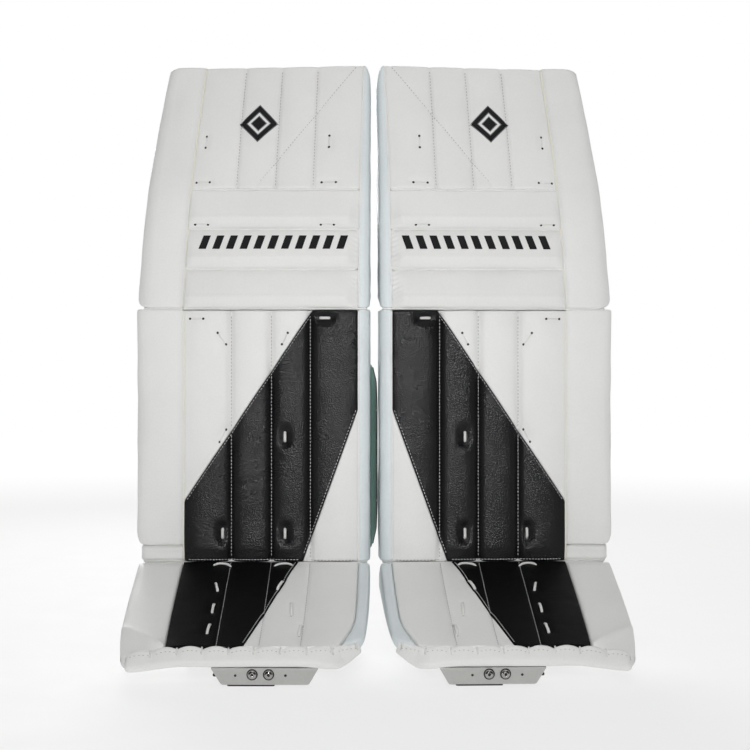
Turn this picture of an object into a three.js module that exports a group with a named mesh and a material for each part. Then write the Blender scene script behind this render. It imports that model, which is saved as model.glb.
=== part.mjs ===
// A pair of ice-hockey goalie leg pads, standing upright on their boots, fronts towards -Y.
// Millimetres, +Z up. The origin is on the floor, under the centre of the pair.
// Each pad is drawn in its own coordinates: u runs across the pad from its inner edge outwards,
// y from the shin's front face backwards, and z up from the floor. The pads mirror each other.
import * as THREE from "three";

// ---- driving dimensions ----
const PAD_WIDTH = 279;
const PAD_DEPTH = 56;
const EDGE_FACE = 14; // width of the inner edge gusset
const OUTER_SEAM = 223; // where the face meets the outer roll
const SKIN = 10; // depth of a padded face panel
const GAP = 0.3; // clearance between touching pieces
const CORNER = 13; // rounding of the long edges

const BREAK_Z = 116; // boot break above the floor
const KNEE_Z = 421; // knee break above the floor
const BREAK_GAP = 3; // clearance at each break

const ROLL_PITCH = 49.3; // height of one knee roll, along its slope
const ROLL_COUNT = 3;
const ROLL_LEAN = 8.5; // backward lean of the knee rolls, degrees
const RISE_LEAN = 17; // backward lean of the thigh rise, degrees
const RISE_LENGTH = 168; // thigh rise above the knee rolls, along its slope
const KNEE_BEVEL = 23; // bevel that lets the thigh fold back, degrees
const TOP_WIDTH = 246;
const TOP_SEAM = 198;
const TOP_EDGE_FACE = 8;
const TOP_DROP = 5; // the top edge falls by this much towards the outside

const BOOT_REACH = 203; // boot, forwards from the break to the toe
const BOOT_DROP = 75; // boot, down from the break to the toe
const BOOT_HEEL = 38; // how far the boot runs back under the shin
const TOE_BOTTOM = 22; // sole edge above the floor
const TOE_TAPER = 4; // how much narrower the boot is at the toe
const TOE_RADIUS = 30; // inner toe corner

const PAD_OFFSET = 6.3; // inner edge of each pad from the centre plane
const RIGHT_YAW = 0.5; // outward turn of the right pad, degrees
const LEFT_YAW = 2.9; // outward turn of the left pad, degrees
const PAIR_CENTRE = new THREE.Vector2(-0.1, -36);

const WHITE = 0xe4e4e0;
const BLACK = 0x0c0c0d;
const SAGE = 0x60766e;
const GREY = 0xc9c9c5;
const STEEL = 0xb9b9bd;

const radians = THREE.MathUtils.degToRad;
const lerp = THREE.MathUtils.lerp;

// ---- solid makers ----

// A closed solid through a row of rings of equal length, with a flat fan over each end.
function loft(rings) {
  const count = rings[0].length;
  const points = rings.flat();
  const faces = [];
  for (let r = 0; r + 1 < rings.length; r += 1) {
    for (let i = 0; i < count; i += 1) {
      const j = (i + 1) % count;
      const a = r * count + i;
      const b = r * count + j;
      faces.push(a, b, b + count, a, b + count, a + count);
    }
  }
  const last = (rings.length - 1) * count;
  for (let i = 1; i + 1 < count; i += 1) {
    faces.push(0, i + 1, i);
    faces.push(last, last + i, last + i + 1);
  }
  return outward(points, faces);
}

// Turns every face round when the solid's signed volume is negative.
function outward(points, faces) {
  let volume = 0;
  for (let i = 0; i < faces.length; i += 3) {
    const [a, b, c] = [points[faces[i]], points[faces[i + 1]], points[faces[i + 2]]];
    volume += a.dot(b.clone().cross(c));
  }
  const index = volume < 0 ? faces.slice().reverse() : faces;
  const geometry = new THREE.BufferGeometry().setFromPoints(points);
  geometry.setIndex(index);
  geometry.computeVertexNormals();
  return geometry;
}

// A box between two corners, with its long edges cut by a small bevel round its Z faces.
function block([u0, y0, z0], [u1, y1, z1], bevel = 2) {
  const ring = (z, inset) => [
    new THREE.Vector3(u0 + inset, y0 + inset, z),
    new THREE.Vector3(u1 - inset, y0 + inset, z),
    new THREE.Vector3(u1 - inset, y1 - inset, z),
    new THREE.Vector3(u0 + inset, y1 - inset, z),
  ];
  return loft([ring(z0, bevel), ring(z0 + bevel, 0), ring(z1 - bevel, 0), ring(z1, bevel)]);
}

// ---- the section of the pad, as rings in (across, depth) ----

// Four corners of a flat layer of the pad.
function layerRing(across0, across1, depth0, depth1) {
  return [
    [across0, depth0],
    [across1, depth0],
    [across1, depth1],
    [across0, depth1],
  ];
}

// Section of the outer roll: flat in front, rounded at both outer corners.
function outerRing(seam, edge) {
  const half = CORNER / 2;
  return [
    [seam, 0],
    [edge - CORNER, 0],
    [edge - half * 0.6, half * 0.6],
    [edge, CORNER],
    [edge, PAD_DEPTH - CORNER],
    [edge - half * 0.6, PAD_DEPTH - half * 0.6],
    [edge - CORNER, PAD_DEPTH],
    [seam, PAD_DEPTH],
  ];
}

// Section of the inner edge gusset: a rounded front corner on a straight side.
function gussetRing(face) {
  return [
    [face, 0],
    [face * 0.55, 1],
    [face * 0.18, 5],
    [0, 12],
    [0, PAD_DEPTH - 6],
    [4, PAD_DEPTH],
    [face, PAD_DEPTH],
  ];
}

// ---- the thigh section: v runs up its slope from the knee break, w is depth behind its face ----

const ROLLS_LENGTH = ROLL_PITCH * ROLL_COUNT;
const THIGH_LENGTH = ROLLS_LENGTH + RISE_LENGTH;

function thighPoint(u, w, v) {
  const lean = v <= ROLLS_LENGTH ? radians(ROLL_LEAN) : radians(RISE_LEAN);
  const mitre = (radians(ROLL_LEAN) + radians(RISE_LEAN)) / 2;
  const normal = Math.abs(v - ROLLS_LENGTH) < 2 * GAP ? mitre : lean;
  const low = Math.min(v, ROLLS_LENGTH);
  const high = Math.max(v - ROLLS_LENGTH, 0);
  const y = low * Math.sin(radians(ROLL_LEAN)) + high * Math.sin(radians(RISE_LEAN));
  const z = low * Math.cos(radians(ROLL_LEAN)) + high * Math.cos(radians(RISE_LEAN));
  return new THREE.Vector3(u, y + w * Math.cos(normal), KNEE_Z + z - w * Math.sin(normal));
}

// How far up the taper a height is: 0 at the knee break, 1 at the top, curving in.
function taper(v) {
  const t = Math.max(v, 0) / THIGH_LENGTH;
  return 0.4 * t + 0.6 * t * t;
}

const thighEdge = (v) => lerp(PAD_WIDTH, TOP_WIDTH, taper(v));
const thighSeam = (v) => lerp(OUTER_SEAM, TOP_SEAM, taper(v));
const thighFace = (v) => lerp(EDGE_FACE, TOP_EDGE_FACE, taper(v));

// A piece of the thigh section between two heights; its lower end is bevelled at the knee break
// and its upper end follows the sloping top edge.
function thighPiece(section, heights) {
  const bevel = Math.tan(radians(KNEE_BEVEL));
  return loft(
    heights.map((v) =>
      section(v).map(([u, w]) => {
        const bottom = v === BREAK_GAP ? w * bevel : 0;
        const top = v === THIGH_LENGTH ? (-TOP_DROP * u) / TOP_WIDTH : 0;
        return thighPoint(u, w, v + bottom + top);
      }),
    ),
  );
}

// One knee roll: a padded bolster whose rounded lip hangs over the roll below.
function kneeRoll(index) {
  const start = index * ROLL_PITCH + (index === 0 ? BREAK_GAP : GAP);
  const end = (index + 1) * ROLL_PITCH - GAP;
  const profile = [
    [SKIN - GAP, start],
    [0, start],
    [-6, start + 5],
    [-9, start + 13],
    [-7, start + 22],
    [-1, end],
    [SKIN - GAP, end],
  ];
  const inner = thighFace(start) + GAP;
  const outer = thighSeam(end) - 4 * GAP;
  return loft([inner, outer].map((u) => profile.map(([w, v]) => thighPoint(u, w, v))));
}

// ---- the shin section ----

function shinPiece(section, bottom = BREAK_Z + BREAK_GAP, top = KNEE_Z - BREAK_GAP) {
  return loft([bottom, top].map((z) => section.map(([u, y]) => new THREE.Vector3(u, y, z))));
}

// ---- the boot section: f runs from 0 at the break to 1 at the toe ----

const BOOT_PITCH = Math.atan2(BOOT_DROP, BOOT_REACH);

// How much of the boot's length there is at u: both toe corners are rounded.
function toeReach(u) {
  const setback = (distance, radius) => {
    const short = Math.max(radius - distance, 0);
    return radius - Math.sqrt(Math.max(radius * radius - short * short, 0));
  };
  return 1 - (setback(u, TOE_RADIUS) * 0.9 + setback(PAD_WIDTH - u, 8)) / BOOT_REACH;
}

// A point of the boot's face at u and f, sunk by depth under the face.
function bootFace(u, f, depth = 0) {
  const y = -BOOT_REACH * f + depth * Math.sin(BOOT_PITCH);
  const z = BREAK_Z - BOOT_DROP * f - depth * Math.cos(BOOT_PITCH);
  return new THREE.Vector3(bootAcross(u, f), y, z);
}

// The boot narrows towards the toe on its outer side, and draws in a little on its inner side.
function bootAcross(u, f) {
  const draw = f * f * f;
  return u + draw * (5 * (1 - u / PAD_WIDTH) - (TOE_TAPER * u) / PAD_WIDTH);
}

// A solid piece of the boot between the face and the underside, made of slices across u.
function bootPiece(stations, sink, toeBottom) {
  return loft(
    stations.map((u) => {
      const f = toeReach(u);
      const toeTop = bootFace(u, f, sink);
      const heel = (z) => new THREE.Vector3(u, BOOT_HEEL, z);
      return [
        bootFace(u, 0.014, sink),
        toeTop,
        new THREE.Vector3(toeTop.x, toeTop.y, toeBottom + (1 - f) * 45),
        heel(BREAK_Z - 37),
        heel(BREAK_Z - 18),
      ];
    }),
  );
}

// ---- sub-parts of one pad ----

const materials = {
  leather: () => new THREE.MeshStandardMaterial({ color: WHITE, roughness: 0.55 }),
  graphic: () => new THREE.MeshStandardMaterial({ color: BLACK, roughness: 0.4 }),
  foam: () => new THREE.MeshStandardMaterial({ color: GREY, roughness: 0.9 }),
  sage: () => new THREE.MeshStandardMaterial({ color: SAGE, roughness: 0.85 }),
  plastic: () => new THREE.MeshStandardMaterial({ color: WHITE, roughness: 0.4 }),
  webbing: () => new THREE.MeshStandardMaterial({ color: BLACK, roughness: 0.8 }),
  steel: () => new THREE.MeshStandardMaterial({ color: STEEL, roughness: 0.25, metalness: 1 }),
};

const FACE_IN = EDGE_FACE + GAP;
const FACE_OUT = OUTER_SEAM - GAP;
const CORE_FRONT = SKIN + GAP;
const LINING = 6; // thickness of the padded lining on the back

function shinParts() {
  const back = PAD_DEPTH - LINING;
  return {
    shin_core: [shinPiece(layerRing(FACE_IN, FACE_OUT, CORE_FRONT, back - GAP)), "foam"],
    shin_face: [shinPiece(layerRing(FACE_IN, FACE_OUT, 0, SKIN)), "graphic"],
    shin_outer_roll: [shinPiece(outerRing(OUTER_SEAM, PAD_WIDTH)), "leather"],
    shin_inner_gusset: [shinPiece(gussetRing(EDGE_FACE)), "leather"],
    shin_back_lining: [shinPiece(layerRing(FACE_IN, FACE_OUT, back, PAD_DEPTH)), "foam"],
  };
}

function thighParts() {
  const depth = PAD_DEPTH - GAP;
  const full = [BREAK_GAP, ROLLS_LENGTH, ROLLS_LENGTH + RISE_LENGTH * 0.55, THIGH_LENGTH];
  const between = (w0, w1) => (v) =>
    layerRing(thighFace(v) + GAP, thighSeam(v) - GAP, w0, w1);
  const rise = [ROLLS_LENGTH + GAP, ROLLS_LENGTH + RISE_LENGTH * 0.55, THIGH_LENGTH];
  return {
    thigh_core: [thighPiece(between(CORE_FRONT, depth), full), "foam"],
    thigh_face: [thighPiece(between(0, SKIN - GAP), rise), "leather"],
    knee_roll_lower: [kneeRoll(0), "leather"],
    knee_roll_middle: [kneeRoll(1), "leather"],
    knee_roll_upper: [kneeRoll(2), "leather"],
    thigh_outer_roll: [thighPiece((v) => outerRing(thighSeam(v), thighEdge(v)), full), "leather"],
    thigh_inner_gusset: [thighPiece((v) => gussetRing(thighFace(v)), full), "leather"],
  };
}

const CORE_STATIONS = [FACE_IN, 22, 34, 120, FACE_OUT];
const OUTER_STATIONS = [OUTER_SEAM, 250, PAD_WIDTH - 8, PAD_WIDTH - 3, PAD_WIDTH];
const INNER_STATIONS = [0, 3, 8, EDGE_FACE];

function bootParts() {
  const facePiece = loft(
    CORE_STATIONS.map((u) => {
      const f = toeReach(u);
      return [
        bootFace(u, 0.014),
        bootFace(u, f),
        bootFace(u, f, SKIN - 2 - GAP),
        bootFace(u, 0.014, SKIN - 2 - GAP),
      ];
    }),
  );
  return {
    boot_face: [facePiece, "graphic"],
    boot_core: [bootPiece(CORE_STATIONS, SKIN - 2, TOE_BOTTOM), "foam"],
    boot_outer_roll: [bootPiece(OUTER_STATIONS, 0, TOE_BOTTOM - 7), "leather"],
    boot_inner_gusset: [bootPiece(INNER_STATIONS, 0, TOE_BOTTOM), "leather"],
  };
}

// The sole-edge binding, a padded strip along the toe.
const LIP_PROUD = 10;
const LIP_HEIGHT = 20;

function toeLip() {
  const stations = [3, 8, EDGE_FACE, 22, 34, 120, OUTER_SEAM, 250, PAD_WIDTH - 8, PAD_WIDTH - 3];
  return loft(
    stations.map((u) => {
      const f = toeReach(u);
      const rim = bootFace(u, f);
      const front = rim.y - LIP_PROUD * 0.95;
      const rise = u > OUTER_SEAM ? -7 * ((u - OUTER_SEAM) / (PAD_WIDTH - OUTER_SEAM)) : 0;
      const low = TOE_BOTTOM + rise;
      return [
        new THREE.Vector3(rim.x, rim.y - 1, low + 1),
        new THREE.Vector3(rim.x, rim.y - 1, low + LIP_HEIGHT),
        new THREE.Vector3(rim.x, front + 3, low + LIP_HEIGHT - 2),
        new THREE.Vector3(rim.x, front, low + LIP_HEIGHT / 2),
        new THREE.Vector3(rim.x, front + 4, low + 1),
      ];
    }),
  );
}

// The toe bridge: a plastic plate under the toe that the toe ties pull on.
const BRIDGE_TOP = [53, 173];
const BRIDGE_BASE = [64, 161];
const BRIDGE_FRONT = -BOOT_REACH - 5;
const BRIDGE_DEPTH = 14;
const SCREW_U = [108.5, 126.5];
const SCREW_Z = 13;
const SCREW_RADIUS = 5.5;

function toeBridge() {
  const ring = (y) => [
    new THREE.Vector3(BRIDGE_BASE[0], y, 0),
    new THREE.Vector3(BRIDGE_BASE[1], y, 0),
    new THREE.Vector3(BRIDGE_TOP[1], y, TOE_BOTTOM - 0.4),
    new THREE.Vector3(BRIDGE_TOP[0], y, TOE_BOTTOM - 0.4),
  ];
  return loft([ring(BRIDGE_FRONT), ring(BRIDGE_FRONT + BRIDGE_DEPTH)]);
}

function screwHead(u) {
  const profile = [
    new THREE.Vector2(0, 0),
    new THREE.Vector2(SCREW_RADIUS, 0),
    new THREE.Vector2(SCREW_RADIUS * 0.8, 2),
    new THREE.Vector2(0, 3),
  ];
  const head = new THREE.LatheGeometry(profile, 12);
  return head.rotateX(Math.PI).translate(u, BRIDGE_FRONT - GAP, SCREW_Z);
}

// A flat loop of webbing under the bridge, for the toe tie.
const LOOP_WIDTH = 52;

function toeLoop(start) {
  const y0 = BRIDGE_FRONT + BRIDGE_DEPTH + 0.5;
  return block([start, y0, 0.3], [start + LOOP_WIDTH, y0 + 34, 3.3], 0.6);
}

// Blocks under the boot either side of the skate, resting on the floor.
const WEDGE_INNER = [24, 66];
const WEDGE_OUTER = [176, 214];
const WEDGE_FRONT = -60;
const WEDGE_BACK = 60;

function bootWedge([u0, u1]) {
  const slope = (BREAK_Z - 37 - TOE_BOTTOM) / (BOOT_HEEL + BOOT_REACH);
  const under = (y) => TOE_BOTTOM + (y + BOOT_REACH) * slope - 1;
  const ring = (u) => [
    new THREE.Vector3(u, WEDGE_FRONT, 0),
    new THREE.Vector3(u, WEDGE_BACK - 8, 0),
    new THREE.Vector3(u, WEDGE_BACK, 8),
    new THREE.Vector3(u, WEDGE_BACK, 62),
    new THREE.Vector3(u, WEDGE_BACK - 12, 74),
    new THREE.Vector3(u, BOOT_HEEL, under(BOOT_HEEL)),
    new THREE.Vector3(u, WEDGE_FRONT - 18, under(WEDGE_FRONT - 18)),
    new THREE.Vector3(u, WEDGE_FRONT - 18, 30),
  ];
  return loft([ring(u0), ring(u1)]);
}

// ---- leg channel: blocks on the inner side, padded wings and straps on the outer side ----

const CALF_Z = [140, 352];
const CALF_BLOCK_Z = [124, 357];
const CHANNEL_BACK = 120; // back of the calf block
const CALF_HINGE = new THREE.Vector2(262, 68);
const KNEE_HINGE = new THREE.Vector2(252, 92);
const WING = 12; // thickness of a padded wing
const STRAP = 3;

// The calf block has tapered ends, and its reach past the inner edge is set for each pad.
function calfBlock(innerReach) {
  const [z0, z1] = CALF_BLOCK_Z;
  const ring = (z, ease) => [
    new THREE.Vector3(innerReach + 6 * ease, PAD_DEPTH + GAP, z),
    new THREE.Vector3(46 - 4 * ease, PAD_DEPTH + GAP, z),
    new THREE.Vector3(46 - 4 * ease, CHANNEL_BACK - 14 - 30 * ease, z),
    new THREE.Vector3(34, CHANNEL_BACK - 34 * ease, z),
    new THREE.Vector3(innerReach + 12 + 6 * ease, CHANNEL_BACK - 34 * ease, z),
    new THREE.Vector3(innerReach + 6 * ease, CHANNEL_BACK - 12 - 30 * ease, z),
  ];
  return loft([ring(z0, 1), ring(z0 + 24, 0.25), ring(z0 + 60, 0), ring(z1 - 60, 0),
    ring(z1 - 24, 0.25), ring(z1, 1)]);
}

// The knee stack is the block on the inner side that the knee lands on.
const STACK_Z = [432, 536];
const STACK_U = [4, 58];

function kneeStack() {
  const [z0, z1] = STACK_Z;
  const front = (z) => thighPoint(0, PAD_DEPTH, (z - KNEE_Z) * 1.03 + 9).y + 2;
  const ring = (z, ease) => [
    new THREE.Vector3(STACK_U[0] + ease, front(z), z),
    new THREE.Vector3(STACK_U[1] - ease, front(z), z),
    new THREE.Vector3(STACK_U[1] - ease, 128 - ease, z),
    new THREE.Vector3(STACK_U[0] + 6 + ease, 128 - ease, z),
    new THREE.Vector3(STACK_U[0] + ease, 120 - ease, z),
  ];
  return loft([ring(z0, 4), ring(z0 + 6, 0), ring(z1 - 6, 0), ring(z1, 4)]);
}

// A padded wing, bent round the outer side of the leg channel: straight back from its hinge,
// then a quarter turn, then inwards.
function wing(hinge, backY, innerU, [z0, z1]) {
  const radius = 34;
  const outerU = hinge.x + WING / 2;
  const centre = new THREE.Vector2(outerU - radius, backY - radius);
  const steps = 4;
  const outline = [new THREE.Vector2(outerU, hinge.y)];
  for (let i = 0; i <= steps; i += 1) {
    const angle = (Math.PI / 2) * (i / steps);
    outline.push(new THREE.Vector2(
      centre.x + radius * Math.cos(angle), centre.y + radius * Math.sin(angle)));
  }
  outline.push(new THREE.Vector2(innerU, backY));
  outline.push(new THREE.Vector2(innerU, backY - WING));
  for (let i = steps; i >= 0; i -= 1) {
    const angle = (Math.PI / 2) * (i / steps);
    const inside = radius - WING;
    outline.push(new THREE.Vector2(
      centre.x + inside * Math.cos(angle), centre.y + inside * Math.sin(angle)));
  }
  outline.push(new THREE.Vector2(outerU - WING, hinge.y));
  const shape = new THREE.Shape(outline);
  const solid = new THREE.ExtrudeGeometry(shape, { depth: z1 - z0, bevelEnabled: false });
  return solid.translate(0, 0, z0);
}

// A strap from the wing's inner end across to the back of the block, pressed on it by hook and loop.
function strap(wingEndU, wingBackY, blockU, blockBackY, z, height) {
  const back = Math.max(wingBackY, blockBackY) + GAP;
  return block([blockU, back, z - height / 2], [wingEndU + 40, back + STRAP, z + height / 2], 0.8);
}

const CALF_WING_END = 150;
const KNEE_WING_END = 150;
const CALF_STRAP_Z = 250;
const KNEE_STRAP_Z = 486;
const STRAP_HEIGHT = 50;
const KNEE_BACK = 128;

function wingParts() {
  return {
    calf_wing: [wing(CALF_HINGE, CHANNEL_BACK, CALF_WING_END, CALF_Z), "leather"],
    calf_strap: [strap(CALF_WING_END, CHANNEL_BACK, 8, CHANNEL_BACK, CALF_STRAP_Z, STRAP_HEIGHT),
      "webbing"],
    knee_wing: [wing(KNEE_HINGE, KNEE_BACK, KNEE_WING_END, [442, 530]), "leather"],
    knee_strap: [strap(KNEE_WING_END, KNEE_BACK, 10, KNEE_BACK, KNEE_STRAP_Z, STRAP_HEIGHT),
      "webbing"],
    boot_strap: [block([WEDGE_INNER[0], WEDGE_BACK + 0.5, 22],
      [WEDGE_OUTER[1], WEDGE_BACK + 0.5 + STRAP, 52], 0.8), "webbing"],
  };
}

function padParts(calfReach, loopStart) {
  const parts = {
    ...shinParts(),
    calf_block: [calfBlock(calfReach), "sage"],
    ...thighParts(),
    knee_stack: [kneeStack(), "leather"],
    ...bootParts(),
    toe_lip: [toeLip(), "leather"],
    boot_wedge_inner: [bootWedge(WEDGE_INNER), "foam"],
    boot_wedge_outer: [bootWedge(WEDGE_OUTER), "foam"],
    toe_bridge: [toeBridge(), "plastic"],
    toe_loop: [toeLoop(loopStart), "webbing"],
    ...wingParts(),
  };
  SCREW_U.forEach((u, i) => {
    parts["toe_bridge_screw_" + (i + 1)] = [screwHead(u), "steel"];
  });
  return parts;
}

// Builds one pad. Side is +1 for the wearer's left pad and -1 for the right, whose u runs to -X.
function pad(name, side, yaw, calfReach, loopStart) {
  const group = new THREE.Group();
  for (const [part, [geometry, finish]] of Object.entries(padParts(calfReach, loopStart))) {
    const mesh = new THREE.Mesh(geometry, materials[finish]());
    mesh.name = name + "_" + part;
    group.add(mesh);
  }
  group.scale.set(side, 1, 1);
  group.rotation.z = side * radians(yaw);
  group.position.set(side * PAD_OFFSET - PAIR_CENTRE.x, -PAIR_CENTRE.y, 0);
  return group;
}

const pair = new THREE.Group();
pair.add(pad("right", -1, RIGHT_YAW, -7.5, 102));
pair.add(pad("left", 1, LEFT_YAW, 5, 72));

export default pair;
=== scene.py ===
"""The looks of a pair of goalie leg pads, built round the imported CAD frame.

Pieces are drawn in millimetres in each pad's own coordinates: u runs from the inner edge outwards,
y from the shin's front face backwards and z up from the floor. A padded panel is a height over a
flat pattern of two numbers, s across and t along, and each section of the pad bends that pattern
into its place. The two pads mirror each other, but for how far each is turned and where its calf
block and its toe strap start.
"""

import math

import bmesh
import bpy
import numpy as np
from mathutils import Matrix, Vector


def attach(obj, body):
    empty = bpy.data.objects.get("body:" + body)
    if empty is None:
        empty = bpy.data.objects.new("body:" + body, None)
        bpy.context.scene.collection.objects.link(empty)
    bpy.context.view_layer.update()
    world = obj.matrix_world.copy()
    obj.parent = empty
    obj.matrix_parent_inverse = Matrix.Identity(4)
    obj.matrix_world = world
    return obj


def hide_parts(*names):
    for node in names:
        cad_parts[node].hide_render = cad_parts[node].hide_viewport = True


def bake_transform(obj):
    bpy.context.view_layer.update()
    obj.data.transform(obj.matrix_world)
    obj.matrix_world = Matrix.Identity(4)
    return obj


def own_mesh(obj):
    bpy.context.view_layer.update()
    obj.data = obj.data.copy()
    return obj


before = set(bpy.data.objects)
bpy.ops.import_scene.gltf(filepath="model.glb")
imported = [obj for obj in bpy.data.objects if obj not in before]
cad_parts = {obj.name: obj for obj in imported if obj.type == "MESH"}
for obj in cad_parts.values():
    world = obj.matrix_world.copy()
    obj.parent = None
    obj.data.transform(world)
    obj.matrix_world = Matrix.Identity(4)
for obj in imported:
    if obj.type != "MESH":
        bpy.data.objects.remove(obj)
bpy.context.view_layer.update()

# ---- driving dimensions, in millimetres ----
# they are the CAD's, but for the outer seam, the top and the toe corner, which are a little fuller
PAD_WIDTH = 279.0
PAD_DEPTH = 56.0
EDGE_FACE = 14.0
OUTER_SEAM = 225.0
SEAMS = (72.0, 119.0, 167.5)
FACE_BOUNDS = (EDGE_FACE, *SEAMS, OUTER_SEAM)
BREAK_Z = 116.0
KNEE_Z = 421.0
ROLL_PITCH = 49.3
ROLLS_LENGTH = 3 * ROLL_PITCH
RISE_LENGTH = 168.0
THIGH_LENGTH = ROLLS_LENGTH + RISE_LENGTH
ROLL_LEAN = math.radians(8.5)
RISE_LEAN = math.radians(17.0)
TOP_WIDTH = 249.0
TOP_SEAM = 204.0
TOP_EDGE_FACE = 8.0
TOP_SEAMS = (65.0, 109.0, 154.0)
TOP_DROP = 5.0
KNEE_BEVEL = math.tan(math.radians(23.0))
BOOT_REACH = 203.0
BOOT_DROP = 75.0
BOOT_LENGTH = math.hypot(BOOT_REACH, BOOT_DROP)
BOOT_PITCH = math.atan2(BOOT_DROP, BOOT_REACH)
BOOT_HEEL = 38.0
TOE_BOTTOM = 22.0
TOE_TAPER = 4.0
TOE_RADIUS = 36.0
TOE_RISE = 160.0  # how fast the sole rises round the inner toe corner
PAD_OFFSET = 6.3
PAIR_CENTRE = (-0.1, -36.0)
GAP = 0.3  # between pieces that are sewn side by side
FACE_DEPTH = 9.5  # how deep the shin's and the thigh's front pieces reach into the pad
BACK_DEPTH = PAD_DEPTH - 1
MM = 0.001


class Pad:
    """One pad: its name, the side its u axis runs to, how far it is turned outwards in degrees,
    and where its calf block and its toe strap start."""

    def __init__(self, name, side, yaw, calf_reach, loop_start):
        self.name = name
        self.side = side
        self.angle = side * math.radians(yaw)
        self.calf_reach = calf_reach
        self.loop_start = loop_start

    def named(self, name):
        return self.name + "_" + name

    def world(self, points):
        """Pad coordinates in millimetres, as points of the frame in metres."""
        points = np.asarray(points, float)
        across = self.side * points[:, 0]
        cosine, sine = math.cos(self.angle), math.sin(self.angle)
        x = across * cosine - points[:, 1] * sine + self.side * PAD_OFFSET - PAIR_CENTRE[0]
        y = across * sine + points[:, 1] * cosine - PAIR_CENTRE[1]
        return np.stack([x, y, points[:, 2]], axis=1) * MM


PADS = (Pad("right", -1, 0.5, -7.5, 102.0), Pad("left", 1, 2.9, 5.0, 72.0))


# ---- small formulas ----
def mix(a, b, t):
    return a + (b - a) * t


def smooth(edge0, edge1, x):
    t = np.clip((x - edge0) / (edge1 - edge0), 0, 1)
    return t * t * (3 - 2 * t)


def noise(x, y, scale, seed):
    """Smooth random waves between -1 and 1, the same each run."""
    table = np.random.default_rng(seed).uniform(-1, 1, (64, 64))
    gx, gy = np.asarray(x, float) / scale, np.asarray(y, float) / scale
    ix, iy = np.floor(gx).astype(int), np.floor(gy).astype(int)
    fx, fy = smooth(0, 1, gx - ix), smooth(0, 1, gy - iy)

    def corner(a, b):
        return table[(ix + a) % 64, (iy + b) % 64]

    low = mix(corner(0, 0), corner(1, 0), fx)
    high = mix(corner(0, 1), corner(1, 1), fx)
    return mix(low, high, fy)


def edge_roll(distance, radius):
    """How far a rounded edge has dropped at a distance from it."""
    short = np.clip(1 - np.asarray(distance, float) / radius, 0, 1)
    return radius * (1 - np.sqrt(np.clip(1 - short * short, 0, 1)))


def lines(start, end, step, marks=None, near=(0.0, 0.8, 1.8, 3.2, 5.0)):
    """Grid lines from start to end, with closer ones beside each mark: by default, at both ends."""
    even = np.linspace(start, end, max(2, int(round((end - start) / step)) + 1))
    close = [m + sign * d for m in marks or (start, end) for d in near for sign in (-1, 1)]
    close = np.array([c for c in close if start < c < end])
    if len(close):
        even = np.array([e for e in even if e in (start, end) or np.abs(close - e).min() > 1.2])
    found = np.sort(np.concatenate([even, close]))
    keep = np.concatenate([[True], np.diff(found) > 0.05])
    return found[keep]


# ---- how each section bends its flat pattern ----
def taper(v):
    """How far up the thigh its seams have drawn together, from 0 at the knee break to 1."""
    t = np.clip(v, 0, None) / THIGH_LENGTH
    return 0.4 * t + 0.6 * t * t


LEAN_TABLE = np.linspace(-20, THIGH_LENGTH + 20, 700)
LEANS = mix(ROLL_LEAN, RISE_LEAN, smooth(ROLLS_LENGTH - 8, ROLLS_LENGTH + 8, LEAN_TABLE))
LEAN_STEP = LEAN_TABLE[1] - LEAN_TABLE[0]
LEAN_Y = np.cumsum(np.sin(LEANS)) * LEAN_STEP
LEAN_Z = np.cumsum(np.cos(LEANS)) * LEAN_STEP
LEAN_Y -= np.interp(0, LEAN_TABLE, LEAN_Y)
LEAN_Z -= np.interp(0, LEAN_TABLE, LEAN_Z)


def thigh_across(s, t):
    """Where a line that starts at s at the knee break has moved to, a way up the thigh."""
    bottom = (0, *FACE_BOUNDS, PAD_WIDTH)
    top = (0, TOP_EDGE_FACE, *TOP_SEAMS, TOP_SEAM, TOP_WIDTH)
    return mix(s, np.interp(s, bottom, top), taper(t))


def thigh(s, t, h):
    """t runs up the face from the knee break; the face leans back at the rolls, and more at the rise."""
    u = thigh_across(s, t)
    share = smooth(ROLLS_LENGTH, THIGH_LENGTH, t)
    v = t - TOP_DROP * share * s / PAD_WIDTH
    y, z = np.interp(v, LEAN_TABLE, LEAN_Y), np.interp(v, LEAN_TABLE, LEAN_Z)
    lean = np.interp(v, LEAN_TABLE, LEANS)
    return np.stack([u, y - h * np.cos(lean), KNEE_Z + z + h * np.sin(lean)], axis=1)


def knee_bevel(t, ring):
    """How much higher the thigh's foot starts behind its face, so that the knee can bend."""
    return np.clip(ring[:, 1], 0, None) * KNEE_BEVEL * (1 - smooth(0, 40, t))


def shin(s, t, h):
    return np.stack([s, -h, t], axis=1)


def toe_reach(s):
    """How much of the boot's length there is at s: both toe corners are rounded."""
    inner = edge_roll(s, TOE_RADIUS) * 0.9
    outer = edge_roll(PAD_WIDTH - s, 8.0)
    return 1 - (inner + outer) / BOOT_REACH


def boot_across(s, f):
    """Where a line that starts at s at the break has moved to, a share f of the way to the toe."""
    corner = 16 * smooth(0.6, 1.05, f) ** 1.5
    face_edge = EDGE_FACE + corner
    inner = s * face_edge / EDGE_FACE
    middle = face_edge + (s - EDGE_FACE) * (SEAMS[0] - face_edge) / (SEAMS[0] - EDGE_FACE)
    u = np.where(s < EDGE_FACE, inner, np.where(s < SEAMS[0], middle, s))
    draw = f**3
    corner_draw = 4.0 * smooth(0.82, 1.05, f) * np.clip((u - OUTER_SEAM) / (PAD_WIDTH - OUTER_SEAM), 0, 1)
    return u + draw * (5 * (1 - u / PAD_WIDTH) - TOE_TAPER * u / PAD_WIDTH) - corner_draw


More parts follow.
